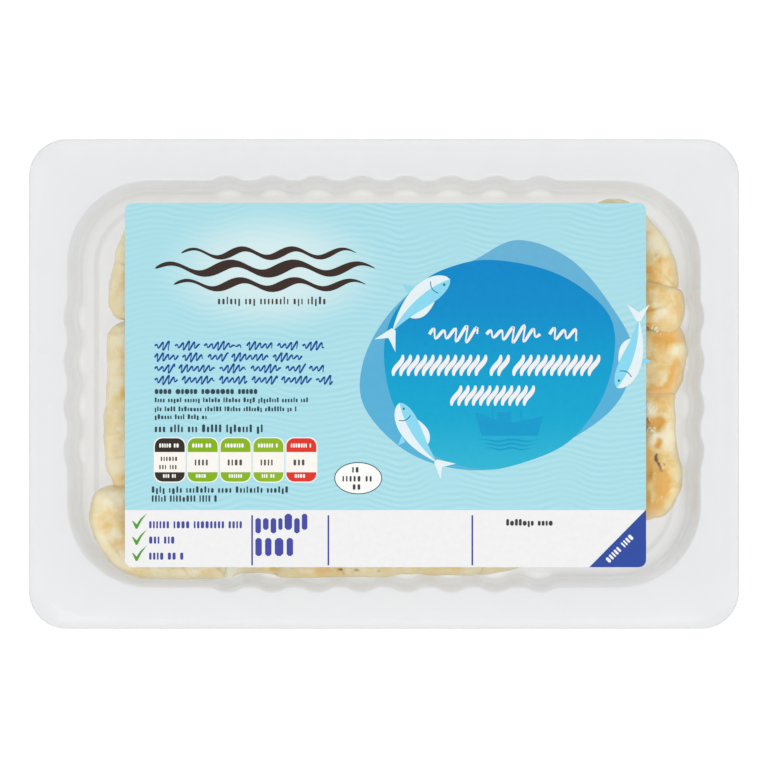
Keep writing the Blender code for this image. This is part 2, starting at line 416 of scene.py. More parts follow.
# %% The plastic's material
def clear_plastic(name, rim, power, body, roughness, ripple):
    """Thermoformed PET or lidding film: clear face on, greyer edge on, smooth with a slow ripple.

    The attribute haze is the share of the surface that shows face on, and rim is added edge on.
    """
    material, tree, shader = new_material(name)
    place = add(tree, "TexCoord").outputs["Object"]
    haze = add(tree, "Attribute", attribute_name="haze").outputs["Fac"]
    wave = add(tree, "TexNoise", {"Vector": place, "Scale": 1.0 / (14.0 * MM), "Detail": 1.0})
    bump = add(tree, "Bump", {"Height": wave.outputs["Fac"], "Distance": ripple, "Strength": 1.0})
    cloud = add(tree, "TexNoise", {"Vector": place, "Scale": 1.0 / (9.0 * MM), "Detail": 2.0})
    facing = add(tree, "LayerWeight", {"Blend": 0.5, "Normal": bump.outputs["Normal"]})
    steep = add(tree, "Math", {0: facing.outputs["Facing"], 1: power}, operation="POWER")
    drift = add(tree, "MapRange", {"Value": cloud.outputs["Fac"], "To Min": 0.94, "To Max": 1.06})
    base = add(tree, "Math", {0: haze, 1: drift.outputs[0]}, operation="MULTIPLY")
    share = add(tree, "Math", {
        0: steep.outputs[0], 1: rim, 2: base.outputs[0],
    }, operation="MULTIPLY_ADD", use_clamp=True)
    gloss = add(tree, "MapRange", {
        "Value": cloud.outputs["Fac"], "To Min": roughness * 0.7, "To Max": roughness * 1.3,
    })
    shader.inputs["Base Color"].default_value = tint(body)
    shader.inputs["IOR"].default_value = 1.5
    tree.links.new(gloss.outputs[0], shader.inputs["Roughness"])
    tree.links.new(bump.outputs["Normal"], shader.inputs["Normal"])
    clear = add(tree, "BsdfTransparent", {"Color": (1.0, 1.0, 1.0, 1.0)})
    mix = add(tree, "MixShader", {
        0: share.outputs[0], 1: clear.outputs[0], 2: shader.outputs[0],
    })
    tree.links.new(mix.outputs[0], tree.nodes["Material Output"].inputs["Surface"])
    return material


# %% [markdown]
# The sheet isn't equally clear everywhere. It is a little cloudier where it is sealed and where it
# is stretched, and clearest on the base. Towards the left, on the right wall and down the front
# wall the haze is raised, as painted shade for light that falls unevenly on the walls, and on the
# soles of the flutes it is lowered, so they read lighter as a painted highlight.

# %% Haze over the tray
# Millimetres below the flange, and the share of the surface that shows there.
HAZE_DEPTHS = (0, 0.4, 1, 14, 17.3, 19, 22, 23.5)
HAZE_SHARES = (0.22, 0.22, 0.16, 0.16, 0.17, 0.16, 0.15, 0.15)
SOLE_DEPTH, SOLE_SPREAD, SOLE_PAINTED_HIGHLIGHT = 16.7, 0.7, 0.06
RIGHT_WALL = 0.88        # the right wall starts at this share of half the mouth's length

x, y, z = np.array([v.co for v in tray.data.vertices]).T
depth = (flange_top - z) / MM
haze = np.interp(depth, HAZE_DEPTHS, HAZE_SHARES)
left = np.clip(-x / MOUTH_HALF[0], 0, 1)
right = np.clip((x / MOUTH_HALF[0] - RIGHT_WALL) * 10, 0, 1)
front = np.clip(-y / MOUTH_HALF[1], 0, 1)
# painted shade: more haze towards the left, on the right wall and down the front wall, so these
# parts take the greys of uneven light
haze *= 1.0 + left * np.interp(depth, (0.3, 1.2), (0.0, 0.24))
haze *= 1.0 + right * np.interp(depth, (0.3, 1.2, 18, 20), (0.0, 0.62, 0.45, 0.0))
haze *= 1.0 + front * np.interp(depth, (0.3, 1.2, 8, 14, 20), (0.0, -0.05, 0.2, 0.3, 0.0))
# painted highlight: less haze on the soles of the flutes lets them read lighter
crest = np.append(np.tile(mouth_swell, len(rings) - 2), (0.0, 0.0)) / FLUTE_DEPTH[0]
haze -= SOLE_PAINTED_HIGHLIGHT * crest * np.exp(-((depth - SOLE_DEPTH) / SOLE_SPREAD) ** 2)
paint(tray, "haze", haze)
tray_plastic = clear_plastic("thermoformed PET", 0.19, 1.6, "#c3c5c9", 0.12, 0.10 * MM)
finish_piece(tray, tray_plastic, "clear_tray_plastic", "tray")

# %% [markdown]
# ## The cod
#
# Salt cod is cut from a fillet after salting and drying. The salt leaves its flesh moist, cream
# coloured and a little see-through, and golden or orange where it has dried more. Each chunk has
# an outline of its own, given by a few knots. The outline is carried up the side, over the rim and
# in to the middle of the top, like the rings of a cushion. Its surface is then moved by slow lumps,
# the low steps of the flakes and faint fibres. Last it is pressed against the tray, where it would
# go through the wall.

# %% The chunks' outlines
# Millimetres and degrees: each chunk's top, the way its fibres run, how golden it is, its knots.
COD = {
    "cod_back_left": (15.5, 70, 0.17, (
        (-73.9, 22.7), (-73.2, 19.3), (-70.6, 17.2), (-60, 16.4), (-45, 16.9), (-32, 17.5),
        (-29.8, 24), (-30.2, 34), (-33, 43), (-45, 45.8), (-58, 45), (-66, 42.8), (-70.3, 38),
        (-72.4, 31.5))),
    "cod_left": (16.5, 100, 0.20, (
        (-74.4, -4.3), (-74.5, -12.3), (-73.9, -20.3), (-72.6, -25.4), (-70.2, -27.4), (-62, -26.8),
        (-48, -26.4), (-34, -26.6), (-28.4, -24), (-27.8, -10), (-28.2, 4), (-29.5, 15),
        (-42, 16.6), (-58, 16), (-69, 16.4), (-72.4, 14.6), (-73.7, 11), (-74.1, 4))),
    "cod_front_left": (17.0, 35, 0.20, (
        (-78.3, -36.4), (-77.5, -40.7), (-75.6, -44.4), (-72.8, -47.8), (-69.5, -50.2),
        (-64, -51.9), (-56, -52.5), (-48, -52.4), (-42.6, -51.6), (-41, -46), (-41, -34),
        (-43, -27.6), (-52, -26.8), (-62, -27), (-70.4, -27.4), (-73.9, -27.8), (-76.7, -29.2),
        (-78.1, -31.9))),
    "cod_front_small": (14.5, 80, 0.12, (
        (-44, -47), (-43.4, -52.2), (-41.6, -53.4), (-39.6, -51.4), (-36.5, -50.6),
        (-31.5, -50.9), (-25, -50.9), (-24, -46), (-25, -33), (-28, -27.4), (-35, -26.6),
        (-41, -27.4), (-43, -36))),
    "cod_front_middle": (16.0, 10, 0.18, (
        (-29, -46), (-28.4, -51.4), (-20, -52.2), (-10, -52.1), (-3, -51.8), (6, -51),
        (15, -51), (25, -50.9), (27, -46), (25.6, -30), (24.5, -17), (20, -13.4), (8, -13),
        (-8, -13.4), (-20, -13), (-26.8, -14.5), (-27.8, -28))),
    "cod_front_right": (14.0, 120, 0.22, (
        (23, -44), (23.4, -50.3), (33, -50), (40, -47.8), (46, -43), (49, -34), (49.4, -22),
        (47, -14.6), (38, -13.2), (28, -13.2), (25.2, -18), (24.8, -30))),
    "cod_middle": (15.0, 60, 0.28, (
        (-27.4, 9), (-27.6, -12.6), (-10, -13.2), (10, -13), (30, -13), (43, -12), (43.8, 0),
        (42.8, 9.6), (30, 10.2), (0, 10.6), (-20, 10))),
    "cod_back_middle": (16.0, 95, 0.26, (
        (-30, 42), (-29.8, 20), (-28.8, 10.4), (-10, 9.8), (15, 10), (34, 10.2), (36, 20),
        (36.2, 36), (34, 46), (20, 47.2), (0, 47), (-20, 46.8))),
    "cod_back_right": (15.0, 50, 0.38, (
        (35.6, 40), (36.2, 28), (45, 25), (58, 24), (70, 23.6), (77, 23.2), (78.4, 27.2),
        (77.8, 31.4), (76.6, 35.6), (75, 38.8), (72.6, 42), (69.8, 45.4), (66, 48.6),
        (62, 49.9), (57.5, 48.8), (50, 46.4), (42, 46))),
    "cod_right_chunk": (17.5, 110, 0.51, (
        (36, 24), (36.8, 16), (48, 14.4), (60, 14.6), (67, 15.4), (70.3, 14.8), (73, 13.7),
        (76, 13.6), (78.8, 15.3), (80, 18.2), (80, 22.2), (79.1, 25), (75.5, 26.3), (70, 27.5),
        (58, 27.5), (44, 27.2))),
    "cod_right": (16.0, 75, 0.53, (
        (43.6, 10), (43.8, -1), (52, -4), (64, -4), (72, -3.6), (77.2, -3.2), (78.8, -1.4),
        (80, 1.5), (80.7, 6.5), (80.6, 10.5), (79.6, 14.5), (77, 17.4), (70, 18.4), (58, 17.4),
        (48, 16))),
    "cod_right_flaky": (16.5, 85, 0.45, (
        (48.6, -8), (48.8, -20), (50, -30), (55, -35.6), (64, -36.6), (71.3, -36.2),
        (74.6, -35.5), (76.5, -33.8), (78, -31.5), (79.2, -28.7), (79.4, -25.5), (78.4, -19.5),
        (77.8, -12.3), (77.9, -5.4), (77, -1.4), (68, -0.8), (58, -0.8), (50, -3))),
}
print(len(COD), "chunks of cod")

# %% [markdown]
# Cod dries unevenly, so some places turn more golden than others, and bits of the dark membrane
# stay on. Such marks could be painted by hand. Here each is one soft spot, whose share falls like a
# bell, so that the list can be read and changed.

# %% Stains, dimples and curds
# Places on the flesh: x, y, how far each reaches along X and Y, how much more golden, how dark.
STAINS = (
    (-71.0, -26.4, 3.2, 1.5, 0.50, 0.0), (-70.6, -3.0, 1.3, 1.6, 0.35, 0.0),
    (-71.8, -43.2, 2.2, 1.4, 0.30, 0.0), (-73.0, -39.5, 4.0, 7.0, 0.13, 0.0),
    (-66.0, -51.5, 6.0, 2.0, 0.25, 0.0), (-35.0, -50.5, 5.0, 1.5, 0.20, 0.0),
    (-41.5, -52.0, 1.6, 3.0, -0.60, 0.0), (-20.0, -51.0, 9.0, 2.0, 0.45, 0.0),
    (-12.0, -50.5, 0.9, 0.5, 0.30, 0.9), (-11.0, -51.3, 0.6, 0.4, 0.20, 0.7),
    (-7.2, -50.2, 1.2, 0.35, 0.30, 0.8), (-8.3, -50.9, 0.5, 0.3, 0.10, 0.8),
    (-1.6, -50.9, 0.6, 0.35, 0.30, 0.8), (12.0, -50.5, 9.0, 2.0, 0.30, 0.0),
    (72.5, 31.2, 3.0, 3.6, 0.25, 0.0), (74.5, 37.7, 2.0, 2.0, -0.20, 0.0),
    (79.6, 21.2, 1.0, 4.5, 0.60, 0.0), (71.5, 18.7, 3.0, 3.0, -0.15, 0.0),
    (70.7, 15.1, 1.1, 0.8, 0.80, 0.35), (75.5, 12.1, 3.6, 1.3, 0.50, 0.05),
    (79.0, 3.2, 1.0, 2.8, 0.85, 0.0), (77.3, -1.0, 1.7, 1.0, 0.70, 0.0),
    (78.7, 9.3, 1.6, 2.0, -0.50, 0.0), (72.0, 6.0, 3.0, 4.5, -0.15, 0.0),
    (73.5, -2.6, 4.0, 1.4, 0.60, 0.0), (71.2, -6.6, 1.3, 2.0, -0.70, 0.0),
    (71.0, -10.0, 0.9, 0.9, 0.60, 0.75), (70.5, -11.2, 0.4, 0.9, 0.50, 0.85),
    (73.8, -10.2, 1.6, 1.0, 0.95, 0.15), (73.5, -12.2, 0.9, 0.9, 0.80, 0.10),
    (73.9, -15.9, 0.7, 1.2, 0.85, 0.05), (73.2, -14.4, 1.4, 2.0, -0.40, 0.0),
    (71.0, -18.6, 0.9, 1.4, 0.50, 0.0), (70.8, -24.6, 0.9, 1.6, 0.90, 0.15),
    (70.6, -30.5, 0.9, 1.8, 0.90, 0.10), (74.5, -30.0, 3.5, 4.5, 0.28, 0.0),
    (77.5, -12.0, 1.2, 7.0, -0.35, 0.0), (79.0, -27.0, 1.2, 3.0, -0.20, 0.0),
    (73.3, -19.2, 0.40, 0.7, 0.10, 1.0), (73.7, -20.3, 0.60, 0.9, 0.10, 1.3),
    (74.2, -21.4, 0.50, 0.8, 0.10, 1.3), (74.6, -22.5, 0.40, 0.7, 0.10, 1.1),
    (75.5, -21.6, 0.25, 0.6, 0.20, 0.8), (75.2, -23.3, 0.50, 0.3, 0.20, 0.7),
    (73.2, -33.4, 0.35, 1.8, 0.50, 0.1), (71.2, -34.2, 2.2, 2.2, 0.35, 0.0),
    (70.6, -22.6, 0.6, 2.6, 0.60, 0.1), (75.4, -27.5, 2.6, 2.6, 0.20, 0.0),
)
DIMPLES = (              # x, y, radius, depth: the small holes that flaking leaves
    (73.8, -10.2, 1.4, 0.9), (73.5, -12.3, 0.8, 0.7), (73.9, -15.9, 0.8, 0.6),
    (71.0, -10.2, 0.7, 0.9), (70.8, -24.6, 0.9, 0.5), (70.6, -30.5, 0.9, 0.5),
    (70.7, 15.1, 1.0, 0.5), (-12.0, -50.5, 0.6, 0.3), (-71.8, -43.2, 1.2, 0.3),
)
CRUMBLY = (              # x, y and reach along X and Y, where the flesh is broken into curds
    (71.2, -6.6, 1.2, 2.0), (72.4, -12.9, 1.6, 1.5), (73.6, 14.6, 2.4, 0.7),
)
print(len(STAINS), "stains,", len(DIMPLES), "dimples and", len(CRUMBLY), "crumbly places")

# %% Fitting a chunk into the tray
AROUND = 360             # points round each chunk
RISE = 110               # rings from its underside to its top
UPPER = RISE * 6 // 10   # about the first ring on its upper side
FLOOR_CLEAR = 0.15 * MM
WALL_CLEAR = 0.12 * MM
BELOW_FLANGE = 1.016     # the knots are plan sizes as seen at the flange, and the rims lie lower


def wall_inset(height):
    """How far in from the plain mouth the tray's inner skin is at a height, and a hair more."""
    return np.interp(flange_top - height, inner[:, 1], inner[:, 0]) + WALL_CLEAR


def press_in(points):
    """Move points that would lie in the tray's wall to its inner skin, level by level.

    At each height the skin is a rounded rectangle. A point outside it goes to the nearest place on
    it, along the line from the core rectangle that the corner circles roll on.
    """
    inset = np.maximum(wall_inset(points[:, 2]), 0.0)
    radius = MOUTH_CORNER - inset
    core = MOUTH_HALF - inset[:, None] - radius[:, None]
    size = np.abs(points[:, :2])
    nearest = np.minimum(size, core)
    past = size - nearest
    share = np.minimum(1.0, radius / np.maximum(np.hypot(*past.T), 1e-9))
    flat = (nearest + past * share[:, None]) * np.sign(points[:, :2])
    return np.column_stack((flat, points[:, 2]))


# %% Smooth outlines
def smooth_loop(knots, count=12):
    """A closed curve through a few points, with count points to each span.

    Each span is a cubic that leaves and arrives level with the chord between its neighbours
    (Catmull-Rom).
    """
    knots = np.asarray(knots, float)
    t = np.linspace(0.0, 1.0, count, endpoint=False)[None, :, None]
    p0, p1, p2, p3 = (np.roll(knots, k, axis=0)[:, None] for k in (1, 0, -1, -2))
    curve = (
        2 * p1 + (p2 - p0) * t + (2 * p0 - 5 * p1 + 4 * p2 - p3) * t ** 2
        + (3 * p1 - p0 - 3 * p2 + p3) * t ** 3
    ) / 2
    return curve.reshape(-1, 2)


def even_loop(outline, count):
    """The same closed curve with this many points, evenly spaced along it."""
    closed = np.vstack((outline, outline[:1]))
    length = np.concatenate(([0.0], np.cumsum(np.hypot(*np.diff(closed, axis=0).T))))
    spots = np.linspace(0.0, length[-1], count, endpoint=False)
    return np.column_stack([np.interp(spots, length, column) for column in closed.T])


# %% The cushion's side view
REACH_POWER, RISE_POWER = 0.22, 0.44   # the smaller they are, the squarer the cushion
FINE_STEPS = 4001        # places along the curve where its length is measured
UNDERSIDE = -0.6         # radians: below this the curve is the underside
FEWER = 0.35             # a millimetre of underside counts for this much when points are placed


def cushion(radius, height):
    """A cushion's side view from the middle of its underside to the middle of its top.

    Returns the share of the outline's reach, the share of the height, and the outward normal.
    The reach is a power of an angle's cosine, and the rise is a half plus half a power of its
    sine, with the sine's sign. Points are spaced by length, and wider on the underside.
    """
    phi = np.linspace(-np.pi / 2, np.pi / 2, FINE_STEPS)
    reach = np.cos(phi).clip(0.0) ** REACH_POWER
    rise = 0.5 + 0.5 * np.sign(np.sin(phi)) * np.abs(np.sin(phi)) ** RISE_POWER
    step = np.hypot(np.diff(reach) * radius, np.diff(rise) * height)
    step *= np.where(phi[1:] < UNDERSIDE, FEWER, 1.0)
    length = np.concatenate(([0.0], np.cumsum(step)))
    spots = np.interp(np.linspace(0.0, length[-1], RISE), length, phi)
    reach, rise = np.interp(spots, phi, reach), np.interp(spots, phi, rise)
    slope = np.stack((np.gradient(reach * radius), np.gradient(rise * height)))
    slope /= np.maximum(np.hypot(*slope), 1e-9)
    return reach, rise, slope[1], -slope[0]


# %% One chunk's points
FLAKE = 6.5 * MM         # from the step of one flake to the next
TREAD = 0.8              # the share of a flake over which it rises, before it drops
STEP_HEIGHT = 0.42       # millimetres
HIGHEST_LUMP = 1.4       # millimetres that a lump may stand above the chunk's top
RIM_FROM = 0.78          # the rim starts at this share of the outline's reach


def spot_share(points, x, y, wide, deep):
    """1 at a place, falling like a bell with the distance from it measured in its own reaches."""
    far = ((points[:, 0] / MM - x) / wide) ** 2 + ((points[:, 1] / MM - y) / deep) ** 2
    return np.exp(-0.7 * far)


def chunk_points(name, seed):
    """The rings of one chunk, and how golden, how dark and how near the rim each point is.

    The outline shrinks to its middle by the cushion's reach and climbs by its rise. Each point is
    then pushed along the outward normal by noise of several sizes. Noise whose cells are drawn out
    one way makes fibres, and a softened sawtooth along them makes the steps of the flakes. The
    flesh is more golden in the creases under those steps, in crisp patches and at the stains.
    """
    top, turn, warmth, knots = COD[name]
    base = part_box(name)[0].z + FLOOR_CLEAR
    outline = even_loop(smooth_loop(np.array(knots) * MM * BELOW_FLANGE), AROUND)
    centre = outline.mean(axis=0)
    ray = outline - centre
    radius = np.hypot(*ray.T)
    reach, rise, out_side, out_up = cushion(radius.mean(), top * MM - base)
    flat = centre + ray * reach[:, None, None]
    height = np.broadcast_to((base + (top * MM - base) * rise)[:, None], flat.shape[:2])
    points = np.dstack((flat, height)).reshape(-1, 3)
    way = ray / radius[:, None]
    upward = np.broadcast_to(out_up[:, None], flat.shape[:2])
    out = np.dstack((way[None] * out_side[:, None, None], upward)).reshape(-1, 3)
    up = smooth_step(out[:, 2] * 1.4 + 0.5)

    angle = math.radians(turn)
    along = np.array((math.cos(angle), math.sin(angle), 0.0))
    across = np.array((-math.sin(angle), math.cos(angle), 0.35))
    sway = [soft_noise(points, 14.0 * MM, seed + k) for k in (60, 61, 62)]
    bent = points + 1.6 * MM * np.stack(sway, axis=1)
    drawn_out = np.stack((along / 7.0, across / 1.1, (0.0, 0.0, 1.0)), axis=1)
    fibre = soft_noise(bent @ drawn_out, 1.0 * MM, seed + 7)
    run = bent @ along / FLAKE
    phase = run - np.floor(run)
    step = smooth_step(phase / TREAD) - smooth_step((phase - TREAD) / (1.0 - TREAD))
    flaky = smooth_step(0.3 + 1.2 * soft_noise(points, 9.0 * MM, seed + 3))
    slow = soft_noise(points, 11.0 * MM, seed)
    lump = soft_noise(points, 4.6 * MM, seed + 50)
    grain = soft_noise(points, 1.7 * MM, seed + 51)
    push = 0.85 * slow + 0.42 * lump + 0.17 * grain
    push += (STEP_HEIGHT * (step - 0.5) * flaky + 0.13 * fibre) * up
    for x, y, size, depth in DIMPLES:
        push -= depth * spot_share(points, x, y, size, size) * up
    for x, y, wide, deep in CRUMBLY:
        curd = 0.35 + 0.8 * np.abs(soft_noise(points, 0.9 * MM, seed + 8))
        push += curd * spot_share(points, x, y, wide, deep) * up
    moved = points + out * (push * MM)[:, None]
    moved[:, 2] = np.clip(moved[:, 2], base, (top + HIGHEST_LUMP) * MM)
    moved = press_in(moved)

    # rim marks the rims and sides; stored as thin, it makes the flesh paler there: partly its own
    # pale rims, partly painted light on sides in shade
    rim = smooth_step((reach - RIM_FROM) / (1.0 - RIM_FROM))[:, None] * np.ones(AROUND)
    patch = soft_noise(points, 7.5 * MM, seed + 21) + 0.5 * soft_noise(points, 3.0 * MM, seed + 22)
    crease = np.exp(-((phase - 0.9) / 0.06) ** 2) * flaky * up
    crisp = (0.05 + 0.35 * warmth) * (smooth_step(0.5 + 2.2 * patch) - 0.5)
    golden = warmth + 0.10 * patch + crisp + 0.08 * fibre - 0.05 * lump + 0.20 * crease
    dark = np.zeros(len(points))
    for x, y, wide, deep, more, dim in STAINS:
        share = spot_share(points + 0.5 * MM * grain[:, None], x, y, wide, deep)
        golden += more * share
        dark += dim * share ** 2
    shape = (RISE, AROUND)
    return moved.reshape(*shape, 3), golden.reshape(shape), dark.reshape(shape), rim


# %% Values for a skin's vertices
def ring_values(values):
    """One number for each vertex of a closed skin made from these rings."""
    return np.concatenate((values[1:-1].ravel(), [values[0].mean(), values[-1].mean()]))


# %% [markdown]
# Salted flesh lets a little light in, so its shadows are soft and warm. One ramp runs from cream to
# gold, and three things add up to a place on it: what was painted on the piece, blotches a few
# millimetres wide, and a fine mottling below a millimetre. The rims and sides are painted paler,
# partly the flesh's own pale rims and partly painted light on sides that lie in shade, the flecks
# of membrane are brown, and a faint bump with an uneven gloss makes the surface look moist.

# %% The flesh's material
def cod_flesh(name, glow):
    """Moist salted cod: cream, golden where the attribute says so, with a soft uneven gloss.

    glow is the subsurface weight. Loose flakes are too small to need any.
    """
    material, tree, shader = new_material(name)
    place = add(tree, "TexCoord").outputs["Object"]
    golden = add(tree, "Attribute", attribute_name="golden").outputs["Fac"]
    dark = add(tree, "Attribute", attribute_name="dark").outputs["Fac"]
    blotch = add(tree, "TexNoise", {"Vector": place, "Scale": 1.0 / (3.0 * MM), "Detail": 4.0})
    fine = add(tree, "TexNoise", {"Vector": place, "Scale": 1.0 / (0.9 * MM), "Detail": 3.0})
    thin = add(tree, "Attribute", attribute_name="thin").outputs["Fac"]
    warm = add(tree, "Math", {
        0: blotch.outputs["Fac"], 1: 0.9, 2: golden,
    }, operation="MULTIPLY_ADD")
    warm = add(tree, "Math", {
        0: fine.outputs["Fac"], 1: 0.25, 2: warm.outputs[0],
    }, operation="MULTIPLY_ADD")
    warm = add(tree, "Math", {0: warm.outputs[0], 1: 0.33}, operation="SUBTRACT")
    ramp = add(tree, "ValToRGB", {"Fac": warm.outputs[0]})
    stops = (
        (0.15, "#f9f1d8"), (0.45, "#f4e4bb"), (0.62, "#efd59b"),
        (0.82, "#ebc56e"), (1.0, "#e8ac3a"),
    )
    for index, (spot, code) in enumerate(stops):
        stop = ramp.color_ramp.elements[index] if index < 2 else ramp.color_ramp.elements.new(spot)
        stop.position = spot
        stop.color = tint(code)
    # painted light: rims and sides are mixed towards pale cream, partly the flesh's own pale rims
    # and partly light on sides that lie in shade
    edge = add(tree, "Math", {0: thin, 1: 0.65}, operation="MULTIPLY")
    rim_painted_light = add(tree, "Mix", {
        "Factor": edge.outputs[0], 6: ramp.outputs["Color"], 7: tint("#f9edc2"),
    }, data_type="RGBA")
    fleck = add(tree, "Math", {0: dark, 1: fine.outputs["Fac"]}, operation="MULTIPLY")
    fleck = add(tree, "MapRange", {"Value": fleck.outputs[0], "From Min": 0.1, "From Max": 0.5})
    colour = add(tree, "Mix", {
        "Factor": fleck.outputs[0], 6: rim_painted_light.outputs[2], 7: tint("#5a3a1c"),
    }, data_type="RGBA")
    tree.links.new(colour.outputs[2], shader.inputs["Base Color"])
    gloss = add(tree, "MapRange", {"Value": blotch.outputs["Fac"], "To Min": 0.30, "To Max": 0.58})
    tree.links.new(gloss.outputs[0], shader.inputs["Roughness"])
    bump = add(tree, "Bump", {
        "Height": fine.outputs["Fac"], "Distance": 0.10 * MM, "Strength": 0.6,
    })
    tree.links.new(bump.outputs["Normal"], shader.inputs["Normal"])
    shader.inputs["Subsurface Weight"].default_value = glow
    shader.inputs["Subsurface Scale"].default_value = 2.0 * MM
    shader.inputs["Subsurface Radius"].default_value = (1.0, 0.7, 0.4)
    return material


# %% All the chunks
flesh = cod_flesh("moist salted cod flesh", 0.18)
chunk_tops = []
for number, node_name in enumerate(COD):
    rings, golden, dark, thin = chunk_points(node_name, 10 + 100 * number)
    chunk = closed_skin(node_name.replace("cod", "salt_cod"), rings)
    # thin carries the rim mask, which the flesh paints paler: painted light on the shaded sides,
    # with the flesh's own pale rims
    for key, values in (("golden", golden), ("dark", dark), ("thin", thin)):
        paint(chunk, key, ring_values(values))
    finish_piece(chunk, flesh, "cod_flesh", node_name)
    chunk_tops.append(rings[UPPER:-2].reshape(-1, 3))
chunk_tops = np.concatenate(chunk_tops)

# %% [markdown]
# ## Salt and crumbs
#
# The salt that has not dissolved lies on the flesh as small cubes, one to three tenths of a
# millimetre wide, and crumbs of flesh lie where it has flaked. A particle system could strew them.
# Here both are placed on points of the chunks' upper sides, picked at random, because then each run
# gives the same ones. All the cubes are one mesh and so are all the crumbs: every piece of a kind
# is one small shape, turned, scaled and moved by numpy.


# %% Scattering small shapes
def random_turns(count, choose):
    """Rotation matrices from random unit quaternions."""
    quaternions = choose.normal(size=(count, 4))
    w, x, y, z = quaternions.T / np.linalg.norm(quaternions, axis=1)
    return np.stack((
        1 - 2 * (y * y + z * z), 2 * (x * y - w * z), 2 * (x * z + w * y),
        2 * (x * y + w * z), 1 - 2 * (x * x + z * z), 2 * (y * z - w * x),
        2 * (x * z - w * y), 2 * (y * z + w * x), 1 - 2 * (x * x + y * y),
    ), axis=1).reshape(-1, 3, 3)


def scatter(name, shape, faces, seats, sizes, material, seed):
    """Copies of one small shape, each turned at random, scaled on its three axes and seated."""
    turns = random_turns(len(seats), np.random.RandomState(seed))
    moved = np.einsum("nij,nkj->nki", turns, shape[None] * sizes[:, None, :]) + seats[:, None, :]
    moved = press_in(moved.reshape(-1, 3))
    shifted = faces[None] + np.arange(len(seats))[:, None, None] * len(shape)
    piece = new_object(name, moved, (shifted.reshape(-1, faces.shape[1]),))
    finish_piece(piece, material, "cod_flesh")
    return piece


# %% A ball and a cube
def ball(rows, columns):
    """A unit ball from rings, with one point at each pole, as triangles and their points."""
    phi = np.linspace(-np.pi / 2, np.pi / 2, rows)[1:-1, None]
    theta = np.linspace(0.0, 2.0 * np.pi, columns, endpoint=False)
    x, y = np.cos(phi) * np.cos(theta), np.cos(phi) * np.sin(theta)
    body = np.dstack((x, y, np.sin(phi) + 0 * theta)).reshape(-1, 3)
    quads = grid_faces(rows - 2, columns)
    low, high = len(body), len(body) + 1
    k = np.arange(columns)
    top = k + len(body) - columns
    triangles = np.vstack((
        quads[:, [0, 1, 2]], quads[:, [0, 2, 3]],
        np.column_stack((np.full(columns, low), np.roll(k, -1), k)),
        np.column_stack((np.full(columns, high), top, np.roll(top, -1))),
    ))
    return np.vstack((body, (0, 0, -1), (0, 0, 1))), triangles


CUBE = np.array([(x, y, z) for z in (-1, 1) for y in (-1, 1) for x in (-1, 1)], float)
CUBE_FACES = np.array((
    (0, 2, 3, 1), (4, 5, 7, 6), (0, 1, 5, 4), (2, 6, 7, 3), (0, 4, 6, 2), (1, 3, 7, 5),
))


# %% Seats and damp salt
def seats_near(places, pool, count, choose):
    """For each place on the plan, a few of the pool of points on the chunks nearest to it."""
    found = []
    for x, y in places:
        far = np.hypot(chunk_tops[:, 0] - x * MM, chunk_tops[:, 1] - y * MM)
        found.append(chunk_tops[choose.choice(np.argpartition(far, pool)[:pool], count)])
    return np.concatenate(found)


def salt_grains():
    """Damp coarse salt: white to cream, with the glossy faces of wet crystals."""
    material, tree, shader = new_material("damp salt crystals")
    place = add(tree, "TexCoord").outputs["Object"]
    cloud = add(tree, "TexNoise", {"Vector": place, "Scale": 1.0 / (0.8 * MM)})
    colour = add(tree, "Mix", {
        "Factor": cloud.outputs["Fac"], 6: tint("#f3efe2"), 7: tint("#ffffff"),
    }, data_type="RGBA")
    tree.links.new(colour.outputs[2], shader.inputs["Base Color"])
    gloss = add(tree, "MapRange", {"Value": cloud.outputs["Fac"], "To Min": 0.12, "To Max": 0.35})
    tree.links.new(gloss.outputs[0], shader.inputs["Roughness"])
    return material


# %% The grains and the flakes
GRAINS = 700
GRAIN_HALF = (0.05, 0.14)    # millimetres, half the width of the smallest and the largest
FLAKE_HALF = (0.25, 0.65)
# Places in millimetres where the flesh has crumbled, how many of the points nearest to each the
# flakes choose from, and how many flakes lie there.
CRUMBLED = (
    (((71.3, -6.4), (71.2, -8.0), (72.4, -12.9)), 160, 5),
    (((73.0, 14.3), (74.6, 14.2), (71.8, 14.8)), 90, 3),
    (((-71.2, 8.0), (74.0, 33.0)), 60, 2),
)

choose = np.random.RandomState(5)
grain_seats = chunk_tops[choose.choice(len(chunk_tops), GRAINS)]
grain_sizes = choose.uniform(*GRAIN_HALF, (GRAINS, 1)) * choose.uniform(0.8, 1.2, (GRAINS, 3))
salt = scatter("salt_grains", CUBE, CUBE_FACES, grain_seats, grain_sizes * MM, salt_grains(), 6)
salt.data.shade_flat()

crumb_seats = np.vstack([seats_near(*row, choose) for row in CRUMBLED])
crumb_sizes = choose.uniform(*FLAKE_HALF, (len(crumb_seats), 1))
crumb_sizes = crumb_sizes * choose.uniform(0.6, 1.3, (len(crumb_seats), 3))
crumb_shape, crumb_faces = ball(8, 10)
crumb_shape *= 1.0 + 0.22 * soft_noise(crumb_shape, 0.9, 4)[:, None]
crumbs = scatter("cod_crumbs", crumb_shape, crumb_faces, crumb_seats, crumb_sizes * MM,
                 cod_flesh("loose flakes of cod", 0.0), 8)
paint(crumbs, "golden", np.full(len(crumbs.data.vertices), 0.12))
# painted light: the crumbs take the pale rim colour, which lightens them where their own small
# shadows would grey them
paint(crumbs, "thin", np.full(len(crumbs.data.vertices), 0.8))

# %% [markdown]
# ## The film
#
# The lidding film is sealed flat to the flange. It is a thin closed sheet: the flange's outline,
# shrunk step by step to its centre, once for the underside and once for the upper side.

